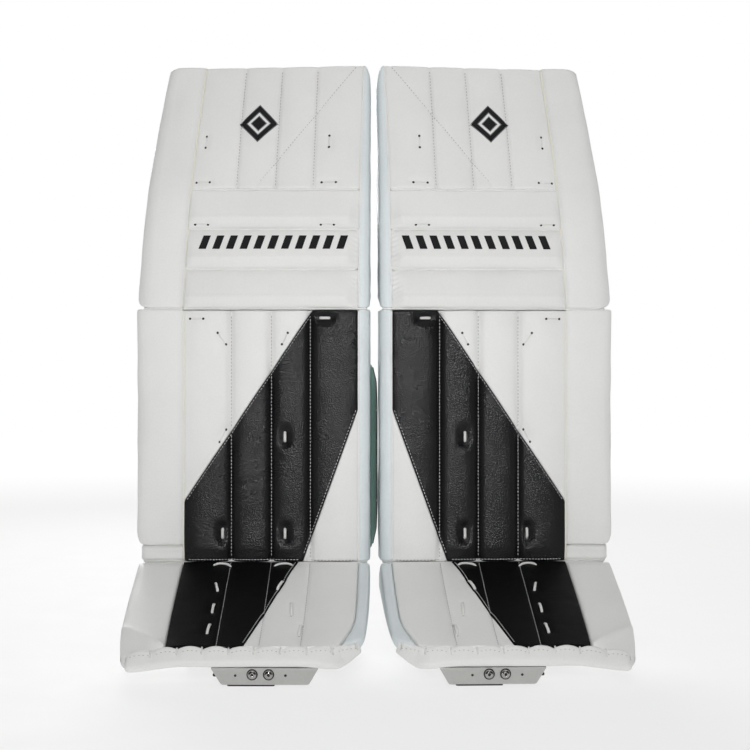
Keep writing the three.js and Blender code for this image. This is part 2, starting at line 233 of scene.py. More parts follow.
def boot(s, t, h):
    """t runs from 0 at the break to the boot's length at the toe."""
    f = t / BOOT_LENGTH * toe_reach(s)
    y = -BOOT_REACH * f - h * math.sin(BOOT_PITCH)
    z = BREAK_Z - BOOT_DROP * f + h * math.cos(BOOT_PITCH)
    return np.stack([boot_across(s, f), y, z], axis=1)


# ---- materials ----
def node(tree, kind, feeds=None, **values):
    """A shader node with its settings; feeds says which output goes into which input."""
    made = tree.nodes.new(kind)
    for key, value in values.items():
        if key in made.inputs:
            made.inputs[key].default_value = value
        else:
            setattr(made, key, value)
    for key, source in (feeds or {}).items():
        tree.links.new(source, made.inputs[key])
    return made


def ramp(tree, source, stops):
    """Colours spread over a number, given as (place, colour) stops."""
    made = node(tree, "ShaderNodeValToRGB", {"Fac": source})
    for element, (place, colour) in zip(made.color_ramp.elements, stops):
        element.position = place
        element.color = (*colour, 1)
    return made.outputs["Color"]


def multiply(tree, first, second):
    feeds = {"Color1": first, "Color2": second}
    return node(tree, "ShaderNodeMixRGB", feeds, blend_type="MULTIPLY", Fac=1.0).outputs["Color"]


def finish(name, colour, roughness, shade=0.06, grain=0.00018, grain_scale=900.0, weave=0.0,
           metallic=0.0, sheen=0.0, rough_vary=0.08, specular=0.5, fine=0.0):
    """A surface with colour variation, roughness variation, and grain or weave in relief."""
    material = bpy.data.materials.new(name)
    material.use_nodes = True
    tree = material.node_tree
    where = {"Vector": node(tree, "ShaderNodeTexCoord").outputs["Object"]}
    patch = node(tree, "ShaderNodeTexNoise", where, Scale=14.0, Detail=4.0, Roughness=0.55).outputs["Fac"]
    speck = node(tree, "ShaderNodeTexNoise", where, Scale=grain_scale * 0.5, Detail=3.0,
                 Roughness=0.6).outputs["Fac"]
    dark, low = tuple(c * (1 - shade) for c in colour), 1 - shade * 0.8
    tone = ramp(tree, patch, ((0.32, dark), (0.62, colour)))
    fleck = ramp(tree, speck, ((0.35, (low, low, low)), (0.6, (1, 1, 1))))
    limits = {"To Min": roughness - rough_vary, "To Max": roughness + rough_vary}
    rough = node(tree, "ShaderNodeMapRange", {"Value": patch}, **limits).outputs["Result"]
    height = node(tree, "ShaderNodeTexVoronoi", where, Scale=grain_scale).outputs["Distance"]
    if fine:
        add = node(tree, "ShaderNodeMath", {0: speck, 2: height}, operation="MULTIPLY_ADD")
        add.inputs[1].default_value = fine
        height = add.outputs["Value"]
    if weave:
        waves = [node(tree, "ShaderNodeTexWave", where, bands_direction=direction, Scale=weave,
                      Distortion=0.4, Detail=1.0).outputs["Fac"] for direction in ("X", "Z")]
        height = node(tree, "ShaderNodeMath", dict(enumerate(waves)), operation="MAXIMUM").outputs["Value"]
    bump = node(tree, "ShaderNodeBump", {"Height": height}, Strength=1.0, Distance=grain)
    shader = tree.nodes["Principled BSDF"].inputs
    tree.links.new(multiply(tree, tone, fleck), shader["Base Color"])
    tree.links.new(rough, shader["Roughness"])
    tree.links.new(bump.outputs["Normal"], shader["Normal"])
    shader["Metallic"].default_value = metallic
    shader["Specular IOR Level"].default_value = specular
    shader["Sheen Weight"].default_value = sheen
    return material


def coat(name, colour, roughness, slot=None, **more):
    """A finish paired with a slot name: its own name, unless it shares another's. The slot name is not used.
    """
    return finish(name, colour, roughness, **more), slot or name


FINISHES = {
    "white": coat("white_leather", (0.80, 0.80, 0.785), 0.5, shade=0.03, grain=0.00010),
    "cream": coat("piping_leather", (0.80, 0.78, 0.69), 0.5, "white_leather", shade=0.03, grain=0.00010),
    "edge": coat("edge_leather", (0.73, 0.785, 0.80), 0.45, shade=0.04, grain=0.00010),
    "black": coat("graphic_leather", (0.004, 0.004, 0.005), 0.28, shade=0.2, grain=0.00027,
                  grain_scale=680.0, fine=1.0, rough_vary=0.03, specular=0.26),
    # painted shade: the same graphic leather as on the shin, made darker and duller for the tilted boot
    "shaded_boot_black": coat("shaded_boot_graphic_leather", (0.0025, 0.0025, 0.0028), 0.5, "graphic_leather",
                       shade=0.2, grain=0.0003, fine=0.6, specular=0.07),
    "lining": coat("lining_fabric", (0.60, 0.61, 0.62), 0.85, weave=160.0, grain=0.0003, sheen=0.2),
    "sage": coat("calf_fabric", (0.16, 0.30, 0.255), 0.9, shade=0.15, grain=0.0003, weave=220.0, sheen=0.3),
    "plastic": coat("bridge_plastic", (0.45, 0.45, 0.435), 0.38, shade=0.05, grain=0.00004,
                    grain_scale=500.0),
    "webbing": coat("webbing", (0.014, 0.014, 0.015), 0.75, shade=0.3, weave=260.0, grain=0.0004,
                    sheen=0.2),
    "steel": coat("screw_metal", (0.42, 0.41, 0.40), 0.2, shade=0.1, grain=0.00002, metallic=1.0,
                  rough_vary=0.05),
    # near-black: real for the rivets, the nub and the washers; painted shade at the lace holes, the screw
    # sockets and the gap over the toe bridge
    "hole": coat("hole_shade_and_dark_fittings", (0.01, 0.01, 0.01), 0.6, "webbing", grain=0.00003),
    "lace": coat("lace_cord", (0.80, 0.80, 0.78), 0.7, shade=0.1, grain=0.0002, grain_scale=1500.0),
    "thread": coat("thread_on_black", (0.62, 0.62, 0.62), 0.7, "lace_cord", shade=0.15, grain=0.0001,
                   grain_scale=2500.0),
    # painted shade: the same thread as on the black, greyed on the white panels so that the stitch holes
    # read dark
    "thread_painted_shade": coat("shaded_thread_on_white", (0.50, 0.50, 0.49), 0.75, "lace_cord", shade=0.15,
                       grain=0.0001, grain_scale=2500.0),
    "emblem": coat("emblem_thread", (0.006, 0.006, 0.007), 0.6, "graphic_leather", shade=0.2,
                   specular=0.25, grain=0.0003, grain_scale=1800.0),
    "emblem_edge": coat("emblem_edge_thread", (0.18, 0.18, 0.19), 0.55, "graphic_leather", shade=0.2,
                        grain=0.0003, grain_scale=1800.0),
}


# ---- making a piece of the object ----
def add_piece(pad, name, points, faces, look, body, fill=None, replaces=(), ride=True):
    """A mesh piece from points in pad coordinates, riding on one of the pad's bodies."""
    mesh = bpy.data.meshes.new(pad.named(name))
    mesh.from_pydata(pad.world(points).tolist(), [], [list(map(int, f)) for f in faces])
    shape = bmesh.new()
    shape.from_mesh(mesh)
    bmesh.ops.remove_doubles(shape, verts=shape.verts, dist=1e-6)
    bmesh.ops.recalc_face_normals(shape, faces=shape.faces)
    shape.to_mesh(mesh)
    shape.free()
    mesh.shade_smooth()
    made = bpy.data.objects.new(pad.named(name), mesh)
    bpy.context.scene.collection.objects.link(made)
    material, slot = FINISHES[look]
    mesh.materials.append(material)
    if ride:
        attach(made, pad.named(body))
    if replaces:
        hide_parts(*[pad.named(n) for n in replaces])
    return made


def panel(pad, name, section, s_lines, t_lines, height, depth, look, body, edge, cuts=(),
          **more):
    """A closed padded panel: a grid over the pattern, cut along lines, raised by height(s, t),
    rounded at its rim and closed by a flat back at depth."""
    shape = bmesh.new()
    grid = [[shape.verts.new((s, t, 0)) for t in t_lines] for s in s_lines]
    for i in range(len(s_lines) - 1):
        for j in range(len(t_lines) - 1):
            shape.faces.new((grid[i][j], grid[i + 1][j], grid[i + 1][j + 1], grid[i][j + 1]))
    limits = []
    for start, end in cuts:
        # the kept side lies to the left of the line from start to end
        along = Vector((end[0] - start[0], end[1] - start[1], 0)).normalized()
        left = Vector((-along.y, along.x, 0))
        origin = Vector((*start, 0))
        limits.append((origin, left))
        for offset in (edge * 0.9, edge * 0.45, edge * 0.15, 0.0):
            everything = shape.verts[:] + shape.edges[:] + shape.faces[:]
            bmesh.ops.bisect_plane(shape, geom=everything, dist=1e-4,
                                   plane_co=origin + left * offset, plane_no=-left,
                                   clear_outer=offset == 0.0)
    bmesh.ops.remove_doubles(shape, verts=shape.verts, dist=0.04)
    shape.verts.index_update()
    flat = np.array([v.co[:2] for v in shape.verts])
    s, t = flat[:, 0], flat[:, 1]
    inside = np.minimum.reduce([s - s_lines[0], s_lines[-1] - s, t - t_lines[0], t_lines[-1] - t])
    for origin, left in limits:
        inside = np.minimum(inside, (s - origin.x) * left.x + (t - origin.y) * left.y)
    top = height(s, t) - edge_roll(np.clip(inside, 0, None), edge)
    count = len(s)
    bottom = np.full(count, -depth)
    front = [[v.index for v in f.verts] for f in shape.faces]
    faces = front + [[count + i for i in reversed(f)] for f in front]
    for e in shape.edges:
        if e.is_boundary:
            a, b = e.verts[0].index, e.verts[1].index
            faces.append([a, b, count + b, count + a])
    shape.free()
    points = np.concatenate([section(s, t, top), section(s, t, bottom)])
    return add_piece(pad, name, points, faces, look, body, **more)


def ring_inset(ring, inset):
    """A closed outline moved inwards by a distance."""
    before, after = np.roll(ring, 1, axis=0), np.roll(ring, -1, axis=0)
    tangent = after - before
    tangent /= np.linalg.norm(tangent, axis=1, keepdims=True) + 1e-9
    area = 0.5 * np.sum(ring[:, 0] * after[:, 1] - after[:, 0] * ring[:, 1])
    inward = np.stack([-tangent[:, 1], tangent[:, 0]], axis=1) * math.copysign(1, area)
    return ring + inward * np.reshape(inset, (-1, 1))


def loft(rings):
    """Points and faces of a closed skin through rings of equal length."""
    count = len(rings[0])
    points = np.concatenate(rings)
    faces = []
    for r in range(len(rings) - 1):
        for i in range(count):
            j = (i + 1) % count
            faces.append((r * count + i, r * count + j, (r + 1) * count + j, (r + 1) * count + i))
    for r in (0, len(rings) - 1):
        middle = len(points)
        points = np.concatenate([points, rings[r].mean(axis=0)[None, :]])
        for i in range(count):
            faces.append((r * count + i, r * count + (i + 1) % count, middle))
    return points, faces


def rounded_box(w0, w1, d0, d1, radii, crown=0.0):
    """Outline of a box with its own radius at each corner, from (w0, d0) round. Its front swells
    outwards by crown, and its back by half of that."""
    arc, side = 5, 6
    corners = ((w0, d0, 1, 1, 180), (w1, d0, -1, 1, 270), (w1, d1, -1, -1, 0), (w0, d1, 1, -1, 90))
    arcs = []
    for (x, y, sx, sy, start), radius in zip(corners, radii):
        angles = [math.radians(start + 90 * i / arc) for i in range(arc + 1)]
        arcs.append([(x + sx * radius + radius * math.cos(angle), y + sy * radius + radius * math.sin(angle))
                     for angle in angles])
    outline = []
    for points, following in zip(arcs, arcs[1:] + arcs[:1]):
        outline += points
        for i in range(1, side):
            outline.append([mix(a, b, i / side) for a, b in zip(points[-1], following[0])])
    ring = np.array(outline)
    share = np.clip((ring[:, 0] - w0) / (w1 - w0), 0, 1)
    swell = crown * np.sin(np.pi * share) ** 0.7
    front = np.abs(ring[:, 1] - d0) < 1e-6
    back = np.abs(ring[:, 1] - d1) < 1e-6
    ring[:, 1] += np.where(front, -swell, 0) + np.where(back, swell * 0.5, 0)
    return ring


def bolster(pad, name, section, outline, t_lines, look, body, end, waves, seed=1, shear=None,
            **more):
    """A stuffed piece of one closed outline per height, with rounded ends and soft waves. shear
    says how far each point of an outline moves along the piece."""
    rings = []
    first, last = t_lines[0], t_lines[-1]
    for t in t_lines:
        inset = edge_roll(min(t - first, last - t), end)
        ring = ring_inset(outline(t), inset)
        wave = waves * noise(ring[:, 0] + ring[:, 1], np.full(len(ring), t), 26, seed)
        ring = ring_inset(ring, wave)
        along = np.full(len(ring), float(t))
        if shear is not None:
            along = along + shear(t, ring)
        rings.append(section(ring[:, 0], along, -ring[:, 1]))
    points, faces = loft(rings)
    return add_piece(pad, name, points, faces, look, body, **more)


class Bundle:
    """Many small closed shapes gathered into one mesh, such as the stitches of a panel."""

    def __init__(self):
        self.points = []
        self.faces = []
        self.count = 0

    def add(self, points, faces):
        self.points.append(np.asarray(points, float))
        self.faces += [[i + self.count for i in f] for f in faces]
        self.count += len(points)

    def tube(self, path, radii, sides, flat=1.0, up=(0, -1, 0)):
        """A tube along a path, with a radius at each point; flat squeezes it along up."""
        path = np.asarray(path, float)
        radii = np.broadcast_to(radii, len(path))
        up = np.asarray(up, float)
        rings = []
        for i, centre in enumerate(path):
            tangent = path[min(i + 1, len(path) - 1)] - path[max(i - 1, 0)]
            tangent /= np.linalg.norm(tangent) + 1e-9
            side = np.cross(tangent, up)
            side /= np.linalg.norm(side) + 1e-9
            rise = np.cross(side, tangent)
            angles = np.linspace(0, 2 * np.pi, sides, endpoint=False)
            ring = centre + radii[i] * (np.cos(angles)[:, None] * side
                                        + flat * np.sin(angles)[:, None] * rise)
            rings.append(ring)
        self.add(*loft(rings))

    def piece(self, pad, name, look, body, **more):
        points = np.concatenate(self.points)
        return add_piece(pad, name, points, self.faces, look, body, **more)


def pieces(pad, body, made):
    """The small parts of one body's face: for each bundle, its name after the body's and its look."""
    for bundle, name, look in made:
        bundle.piece(pad, body + "_" + name, look, body)


def walk(points, pitch):
    """Pairs of nearby places along a line of pattern points, one pair for each stitch."""
    margin = 2.0
    points = np.asarray(points, float)
    steps = np.linalg.norm(np.diff(points, axis=0), axis=1)
    reach = np.concatenate([[0], np.cumsum(steps)])
    count = int((reach[-1] - 2 * margin) / pitch)
    for k in range(count):
        a = margin + k * pitch + pitch * 0.16
        b = a + pitch * 0.68
        at = lambda d: np.array([np.interp(d, reach, points[:, 0]), np.interp(d, reach, points[:, 1])])
        yield at(a), at(b)


def stitch_line(bundle, section, height, points, pitch=4.2, radius=0.5, lift=0.15):
    """A row of stitches lying on a panel along a line of its pattern."""
    for a, b in walk(points, pitch):
        share = np.array([0, 0.2, 0.5, 0.8, 1.0])
        s, t = mix(a[0], b[0], share), mix(a[1], b[1], share)
        arch = radius * np.array([-0.9, 0.0, 0.35, 0.0, -0.9]) + lift
        path = section(s, t, height(s, t) + arch)
        bundle.tube(path, radius * np.array([0.55, 1, 1, 1, 0.55]), sides=6)


def tie(laces, holes, section, height, ties, radius, rise, hole=1.6):
    """Short laces, each pulled through two holes and sunk in the panel's dimple. Each hole is a dark disc:
    painted shade.
    """
    share = np.linspace(0, 1, 11)
    for start, end in ties:
        s, t = mix(start[0], end[0], share), mix(start[1], end[1], share)
        arch = rise + radius * 0.6 - (2.2 + radius) * np.abs(2 * share - 1) ** 5
        laces.tube(section(s, t, height(s, t) + arch), radius, sides=8, flat=0.75)
    # a dark disc stands at each end of a lace: painted shade of its punched hole
    angles = np.linspace(0, 2 * np.pi, 15)[:-1]
    for place in (end for pair in ties for end in pair):
        level = height(np.full(14, place[0]), np.full(14, place[1]))
        rim = []
        for ring_radius, ring_lift in ((hole, -1.0), (hole, 0.15), (hole * 0.75, 0.35), (0.1, 0.35)):
            ss = place[0] + ring_radius * np.cos(angles)
            tt = place[1] + ring_radius * np.sin(angles)
            rim.append(section(ss, tt, level + ring_lift))
        holes.add(*loft(rim))


def dimple(s, t, start, end, deep, wide):
    """The hollow that a pulled lace makes round the line between its eyelets."""
    ax, ay = end[0] - start[0], end[1] - start[1]
    length = ax * ax + ay * ay
    share = np.clip(((s - start[0]) * ax + (t - start[1]) * ay) / length, 0, 1)
    away = np.hypot(s - start[0] - share * ax, t - start[1] - share * ay)
    return -deep * np.exp(-(away / wide) ** 2)


def dimpled(height, s, t, ties, deep, wide):
    """A height with a dimple at each of the ties."""
    for start, end in ties:
        height = height + dimple(s, t, start, end, deep, wide)
    return height


def line_distance(s, t, start, end):
    """How far pattern points are from the straight line through start and end."""
    ax, ay = end[0] - start[0], end[1] - start[1]
    return np.abs((s - start[0]) * ay - (t - start[1]) * ax) / math.hypot(ax, ay)


def channels(s, marks, puff, groove=1.3, width=1.7):
    """Puffed channels between sewn lines at the marks."""
    bounds = np.array(marks)
    k = np.clip(np.searchsorted(bounds, s) - 1, 0, len(bounds) - 2)
    share = (s - bounds[k]) / (bounds[k + 1] - bounds[k])
    share = np.clip(share, 0, 1)
    swell = puff * (1 - np.abs(2 * share - 1) ** 2.6)
    nearest = np.min(np.abs(s[:, None] - bounds[None, 1:-1]), axis=1)
    return swell - groove * np.exp(-(nearest / width) ** 2)


def welt(bundle, section, points, depth, radius=1.3):
    """The covered cord sewn into a seam between two panels, at a depth under their edges."""
    points = np.asarray(points, float)
    share = np.linspace(0, len(points) - 1, 90)
    s = np.interp(share, np.arange(len(points)), points[:, 0])
    t = np.interp(share, np.arange(len(points)), points[:, 1])
    bundle.tube(section(s, t, np.full(90, -float(depth))), radius, sides=8)


def graphic_line(start, end, inset):
    """A line moved to the left of start to end, for stitches just inside a panel's edge. It stops
    short of both ends, so that nothing rubs at the breaks."""
    trim = 4.0
    along = np.array([end[0] - start[0], end[1] - start[1]], float)
    along /= np.linalg.norm(along)
    left = np.array([-along[1], along[0]]) * inset
    return tuple(start + left + along * trim), tuple(end + left - along * trim)


def slab(bundle, section, height, corners, lift, steps):
    """A thin sheet lying on a panel inside four pattern corners, such as a printed bar."""
    a, b, c, d = (np.array(p, float) for p in corners)
    across, along = steps
    flat = []
    for i in range(across + 1):
        for j in range(along + 1):
            p, q = i / across, j / along
            flat.append(mix(mix(a, b, p), mix(d, c, p), q))
    flat = np.array(flat)
    s, t = flat[:, 0], flat[:, 1]
    top = section(s, t, height(s, t) + lift)
    low = section(s, t, height(s, t) - 0.6)
    count = len(flat)
    row = along + 1
    faces = []
    for i in range(across):
        for j in range(along):
            k = i * row + j
            faces.append((k, k + row, k + row + 1, k + 1))
            faces.append((count + k, count + k + 1, count + k + row + 1, count + k + row))
    rim = [i * row for i in range(across)] + [across * row + j for j in range(along)]
    rim += [i * row + along for i in range(across, 0, -1)] + [j for j in range(along, 0, -1)]
    for k, e in enumerate(rim):
        f = rim[(k + 1) % len(rim)]
        faces.append((e, f, count + f, count + e))
    bundle.add(np.concatenate([top, low]), faces)


def soft_ring(corners, counts, passes):
    """A closed outline through corners, with counts points along each side, its corners softened."""
    ring = []
    for k, corner in enumerate(corners):
        a, b = np.array(corner, float), np.array(corners[(k + 1) % len(corners)], float)
        ring += [mix(a, b, i / counts[k]) for i in range(counts[k])]
    ring = np.array(ring)
    for _ in range(passes):
        ring = 0.5 * ring + 0.25 * (np.roll(ring, 1, axis=0) + np.roll(ring, -1, axis=0))
    return ring


def upright(ring, z):
    """An outline seen from above, at a height."""
    return np.column_stack([ring, np.full(len(ring), float(z))])


def pillow(pad, name, ring_at, place, stations, look, body, end, **more):
    """A stuffed block: ring_at gives its outline at each station and place puts that in the pad."""
    rings = []
    first, last = stations[0], stations[-1]
    for station in stations:
        inset = edge_roll(min(abs(station - first), abs(last - station)), end)
        rings.append(place(ring_inset(ring_at(station), inset), station))
    points, faces = loft(rings)
    return add_piece(pad, name, points, faces, look, body, **more)


# ---- the shin ----
SHIN_BOTTOM = BREAK_Z - 0.3
SHIN_TOP = KNEE_Z - 1.8
ROLL_TOP = KNEE_Z - 0.4
ROLL_FOOT = 135.0
BULGE = 3.0  # how far the leather swells past the outer edge
BLACK_LIFT = 0.4  # how far the black panel stands over the white ones
GRAPHIC_TOP = (SEAMS[0] - 2.5, SHIN_TOP)
GRAPHIC_OUT = (OUTER_SEAM + 1, 186.0)
GRAPHIC_IN = (EDGE_FACE - 1.3, 304.0)
GRAPHIC_FOOT = (81.0, SHIN_BOTTOM)

SHIN_TIES = (
    ((201, 409), (217, 409)),
    ((184, 392), (174, 378)),
    ((99, 392), (106, 378)),
    ((174, 275), (182, 260)),
)
SHIN_LACES = (
    ((61, 410), (48, 410)),
    ((102.5, 273), (102.5, 260)),
    ((178, 156), (178, 143)),
    ((102.5, 156), (102.5, 143)),
)


def shin_height(s, t):
    height = 0.8 + channels(s, FACE_BOUNDS, 3.2, groove=3.0, width=3.6)
    height = dimpled(height, s, t, SHIN_TIES, deep=1.4, wide=5)
    for start, end in SHIN_LACES:
        height = height + dimple(s, t, start, end, deep=4.2, wide=6.5)
        height = height + 0.8 * dimple(s, t, (start[0], start[1] - 24), (end[0], end[1] - 13), -1, 6)
    height = height + 0.7 * noise(s, t, 34, 3) + 0.14 * noise(s, t, 13, 4)
    fold = np.exp(-((t - (SHIN_BOTTOM + 9)) / 5) ** 2)
    tuck = np.exp(-((t - SHIN_BOTTOM) / 5) ** 2)
    return height - 0.8 * fold - 1.8 * tuck


def raised(height, lift):
    return lambda s, t: height(s, t) + lift


def build_shin(pad):
    s_lines = lines(EDGE_FACE, OUTER_SEAM, 3.4, FACE_BOUNDS)
    t_lines = lines(SHIN_BOTTOM, SHIN_TOP, 3.4)
    shared = dict(depth=FACE_DEPTH, body="shin", edge=2.2, fill=0.7)
    panel(pad, "shin_face_upper", shin, s_lines, t_lines, shin_height, look="white",
          cuts=((GRAPHIC_TOP, GRAPHIC_OUT),), **shared)
    panel(pad, "shin_face_graphic", shin, s_lines, t_lines, raised(shin_height, BLACK_LIFT), look="black",
          cuts=((GRAPHIC_OUT, GRAPHIC_TOP), (GRAPHIC_IN, GRAPHIC_FOOT)), replaces=("shin_face",), **shared)
    panel(pad, "shin_face_lower", shin, s_lines, t_lines, shin_height, look="white",
          cuts=((GRAPHIC_FOOT, GRAPHIC_IN),), **shared)
    build_shin_seams(pad)

    def roll_outline(t):
        chamfer = 9 + 2 * math.sin(t / 37)
        foot = edge_roll(t - ROLL_FOOT, 17.0) * 0.45
        return rounded_box(OUTER_SEAM + GAP, PAD_WIDTH + BULGE - foot, -1.5, PAD_DEPTH,
                           (2.5, chamfer, 9, 3), crown=1.6)

    def ankle_outline(t):
        share = (t - SHIN_BOTTOM) / (ROLL_FOOT - SHIN_BOTTOM)
        fold = 2.0 * math.sin(math.pi * share) + 1.0 * math.sin(3 * math.pi * share)
        return rounded_box(OUTER_SEAM + 1, PAD_WIDTH - 2, 1.5 - fold, PAD_DEPTH - 2, (2.5, 8, 8, 3))

    bolster(pad, "shin_outer_roll", shin, roll_outline, lines(ROLL_FOOT, ROLL_TOP, 5), "white", "shin",
            end=3.0, waves=0.5, seed=11, replaces=("shin_outer_roll",), fill=0.8)
    bolster(pad, "ankle_fold_strip", shin, ankle_outline, lines(SHIN_BOTTOM + 0.5, ROLL_FOOT + 1, 4),
            "white", "shin", end=4.0, waves=0.4, seed=12, fill=0.6)

    def gusset_outline(t):
        return rounded_box(0, EDGE_FACE - 0.2, 0, PAD_DEPTH, (11.5, 1.8, 2, 6), crown=0.3)

    bolster(pad, "shin_inner_gusset", shin, gusset_outline, lines(SHIN_BOTTOM + 0.5, ROLL_TOP, 5),
            "edge", "shin", end=2.0, waves=0.5, seed=13, replaces=("shin_inner_gusset",), fill=0.7)


def edge_at(start, end, s):
    """Where a black panel's edge, a straight line from start to end, crosses the seam at s."""
    return start[1] + (s - start[0]) * ((end[1] - start[1]) / (end[0] - start[0]))


def build_shin_seams(pad):
    dark, pale, laces, holes, black_holes, cords, piping = (Bundle() for _ in range(7))
    for seam in SEAMS:
        high = min(SHIN_TOP - 2, edge_at(GRAPHIC_TOP, GRAPHIC_OUT, seam) - 2)
        low = max(SHIN_BOTTOM + 4, edge_at(GRAPHIC_IN, GRAPHIC_FOOT, seam) + 2)
        stitch_line(pale, shin, raised(shin_height, BLACK_LIFT), ((seam, low), (seam, high)))
        if high < SHIN_TOP - 8:
            stitch_line(dark, shin, shin_height, ((seam, high + 5), (seam, SHIN_TOP - 2)))
        if low > SHIN_BOTTOM + 8:
            stitch_line(dark, shin, shin_height, ((seam, SHIN_BOTTOM + 2), (seam, low - 5)))
    black = raised(shin_height, 0.2)
    stitch_line(pale, shin, black, graphic_line(GRAPHIC_OUT, GRAPHIC_TOP, 1.9), radius=0.4)
    stitch_line(pale, shin, black, graphic_line(GRAPHIC_IN, GRAPHIC_FOOT, 2.2), radius=0.4)
    low = SHIN_BOTTOM + 2.4
    stitch_line(pale, shin, black, ((GRAPHIC_FOOT[0] + 3, low), (OUTER_SEAM - 2, low)),
                pitch=3.6, radius=0.6, lift=0.7)
    low = SHIN_BOTTOM + 1.6
    stitch_line(dark, shin, shin_height, ((EDGE_FACE + 2, low), (GRAPHIC_FOOT[0] - 4, low)), lift=0.4)
    tie(laces, holes, shin, shin_height, SHIN_TIES, radius=0.7, rise=0.2)
    tie(laces, black_holes, shin, raised(shin_height, BLACK_LIFT), SHIN_LACES, radius=1.7, rise=0.9)
    welt(cords, shin, ((EDGE_FACE - 0.1, SHIN_BOTTOM + 1), (EDGE_FACE - 0.1, SHIN_TOP)), 0.8)
    welt(piping, shin, ((OUTER_SEAM + 0.1, SHIN_BOTTOM + 1), (OUTER_SEAM + 0.1, SHIN_TOP)), 0.4, radius=1.5)
    welt(cords, shin, ((3, ROLL_TOP + 0.5), (PAD_WIDTH - 6, ROLL_TOP + 0.5)), -0.2, radius=1.2)
    pieces(pad, "shin", ((cords, "seam_cords", "white"), (piping, "outer_piping", "cream"),
                         (dark, "seam_stitches", "thread_painted_shade"), (pale, "graphic_stitches", "thread"),
                         (laces, "ties", "lace"), (holes, "painted_hole_shades", "hole"),
                         (black_holes, "graphic_painted_hole_shades", "hole")))


# ---- the thigh ----
RISE_START = ROLLS_LENGTH + 0.5
RISE_END = THIGH_LENGTH - 0.6
DIAGONAL = ((22.0, RISE_END), (140.0, RISE_START + 8))
RISE_TIES = (
    ((212, 219.5), (212, 204)),
    ((54, 219.5), (54, 204)),
    ((219, 157), (202, 157)),
    ((61.5, 157), (44, 157)),
)
ROLL_TIES = (((216, 103), (200, 103)), ((61, 103), (45, 103)))
ROLL_RIDGE = 0.27  # where a knee roll's ridge sits, as a share of its pitch
ROLL_HEIGHT = 9.5
EMBLEM = (145.0, 236.0)


def rise_height(s, t):
    height = channels(s, FACE_BOUNDS, 3.0) * (1 - 0.6 * smooth(RISE_END - 14, RISE_END, t))
    slanted = line_distance(s, t, *DIAGONAL)
    height = height - 1.3 * np.exp(-(slanted / 1.7) ** 2)
    height = dimpled(height, s, t, RISE_TIES, deep=1.6, wide=5)
    return height + 0.5 * noise(s, t, 40, 21) + 0.15 * noise(s, t, 12, 22)


def roll_height(index):
    """Height of one knee roll: its ridge sits low, over a rounded lip."""
    start = index * ROLL_PITCH

    def height(s, t):
        x = np.clip((t - start) / ROLL_PITCH, 0, 1)
        under = ROLL_HEIGHT - 4.2 * (1 - x / ROLL_RIDGE).clip(0, 1) ** 1.9
        over = ROLL_HEIGHT - 9.0 * ((x - ROLL_RIDGE) / (1 - ROLL_RIDGE)).clip(0, 1) ** 1.1
        level = np.where(x < ROLL_RIDGE, under, over)
        level = level + 0.8 * np.exp(-((x - ROLL_RIDGE) / 0.05) ** 2)
        inner, outer = s - EDGE_FACE, OUTER_SEAM - s
        level = level * (0.35 + 0.65 * smooth(0, 16, inner)) * (0.72 + 0.28 * smooth(0, 9, outer))
        pucker = np.exp(-(inner / 13) ** 2) * np.sin((t - 0.45 * s) * 1.05 + index)
        level = level + 0.8 * pucker * (1 if index < 2 else 0.25)
        level = dimpled(level, s, t, ROLL_TIES, deep=1.3, wide=4)
        return level + 0.4 * noise(s, t, 46, 30 + index) + 0.12 * noise(s, t, 11, 33 + index)

    return height


def build_thigh(pad):
    s_lines = lines(EDGE_FACE, OUTER_SEAM, 2.6, FACE_BOUNDS)
    t_lines = lines(RISE_START, RISE_END, 2.6)
    panel(pad, "thigh_face", thigh, s_lines, t_lines, rise_height, depth=FACE_DEPTH, look="white",
          body="thigh", edge=3.0, replaces=("thigh_face",), fill=0.7)
    roll_s = lines(EDGE_FACE, OUTER_SEAM, 3.4)
    for index, place in enumerate(("lower", "middle", "upper")):
        start = index * ROLL_PITCH + (0.3 if index == 0 else 0.0)
        end = (index + 1) * ROLL_PITCH - 0.2
        roll_t = lines(start, end, 1.5)
        name = "knee_roll_" + place
        roll = panel(pad, name, thigh, roll_s, roll_t, roll_height(index), depth=FACE_DEPTH, look="white",
                     body="thigh", edge=2.6, replaces=(name,), fill=0.85)
        if index == 0:
            # the lowest roll gets a mesh of its own
            pad.named("knee_break")
            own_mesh(roll)
    build_thigh_seams(pad)
    build_marks(pad)

    def roll_outline(t):
        corner = edge_roll(THIGH_LENGTH - t, 9.0)
        foot = edge_roll(t - 0.4, 10.0)
        crease = 2.0 * math.exp(-((t - 262) / 20) ** 2)
        ring = rounded_box(OUTER_SEAM + GAP, PAD_WIDTH + BULGE - corner - foot, -1.5, PAD_DEPTH - 1,
                           (2.5, 10, 9, 3), crown=2.2)
        share = (ring[:, 0] - OUTER_SEAM) / (PAD_WIDTH - OUTER_SEAM)
        front = ring[:, 1] < 2
        ring[:, 1] += np.where(front, crease * np.exp(-((share - 0.75) / 0.25) ** 2), 0)
        return ring

    bolster(pad, "thigh_outer_roll", thigh, roll_outline, lines(0.4, THIGH_LENGTH, 5), "white", "thigh",
            end=3.0, waves=0.5, seed=41, shear=knee_bevel, replaces=("thigh_outer_roll",), fill=0.8)

    def gusset_outline(t):
        corner = edge_roll(THIGH_LENGTH - t, 20.0) * 0.8
        return rounded_box(min(corner, EDGE_FACE - 3.5), EDGE_FACE - 0.2, 0, PAD_DEPTH - 1,
                           (min(11.5, (EDGE_FACE - corner) * 0.6), 1.2, 1.2, 1.2), crown=0.3)

    bolster(pad, "thigh_inner_gusset", thigh, gusset_outline, lines(0.4, THIGH_LENGTH - 0.5, 5), "edge",
            "thigh", end=2.0, waves=0.5, seed=42, shear=knee_bevel, replaces=("thigh_inner_gusset",),
            fill=0.7)


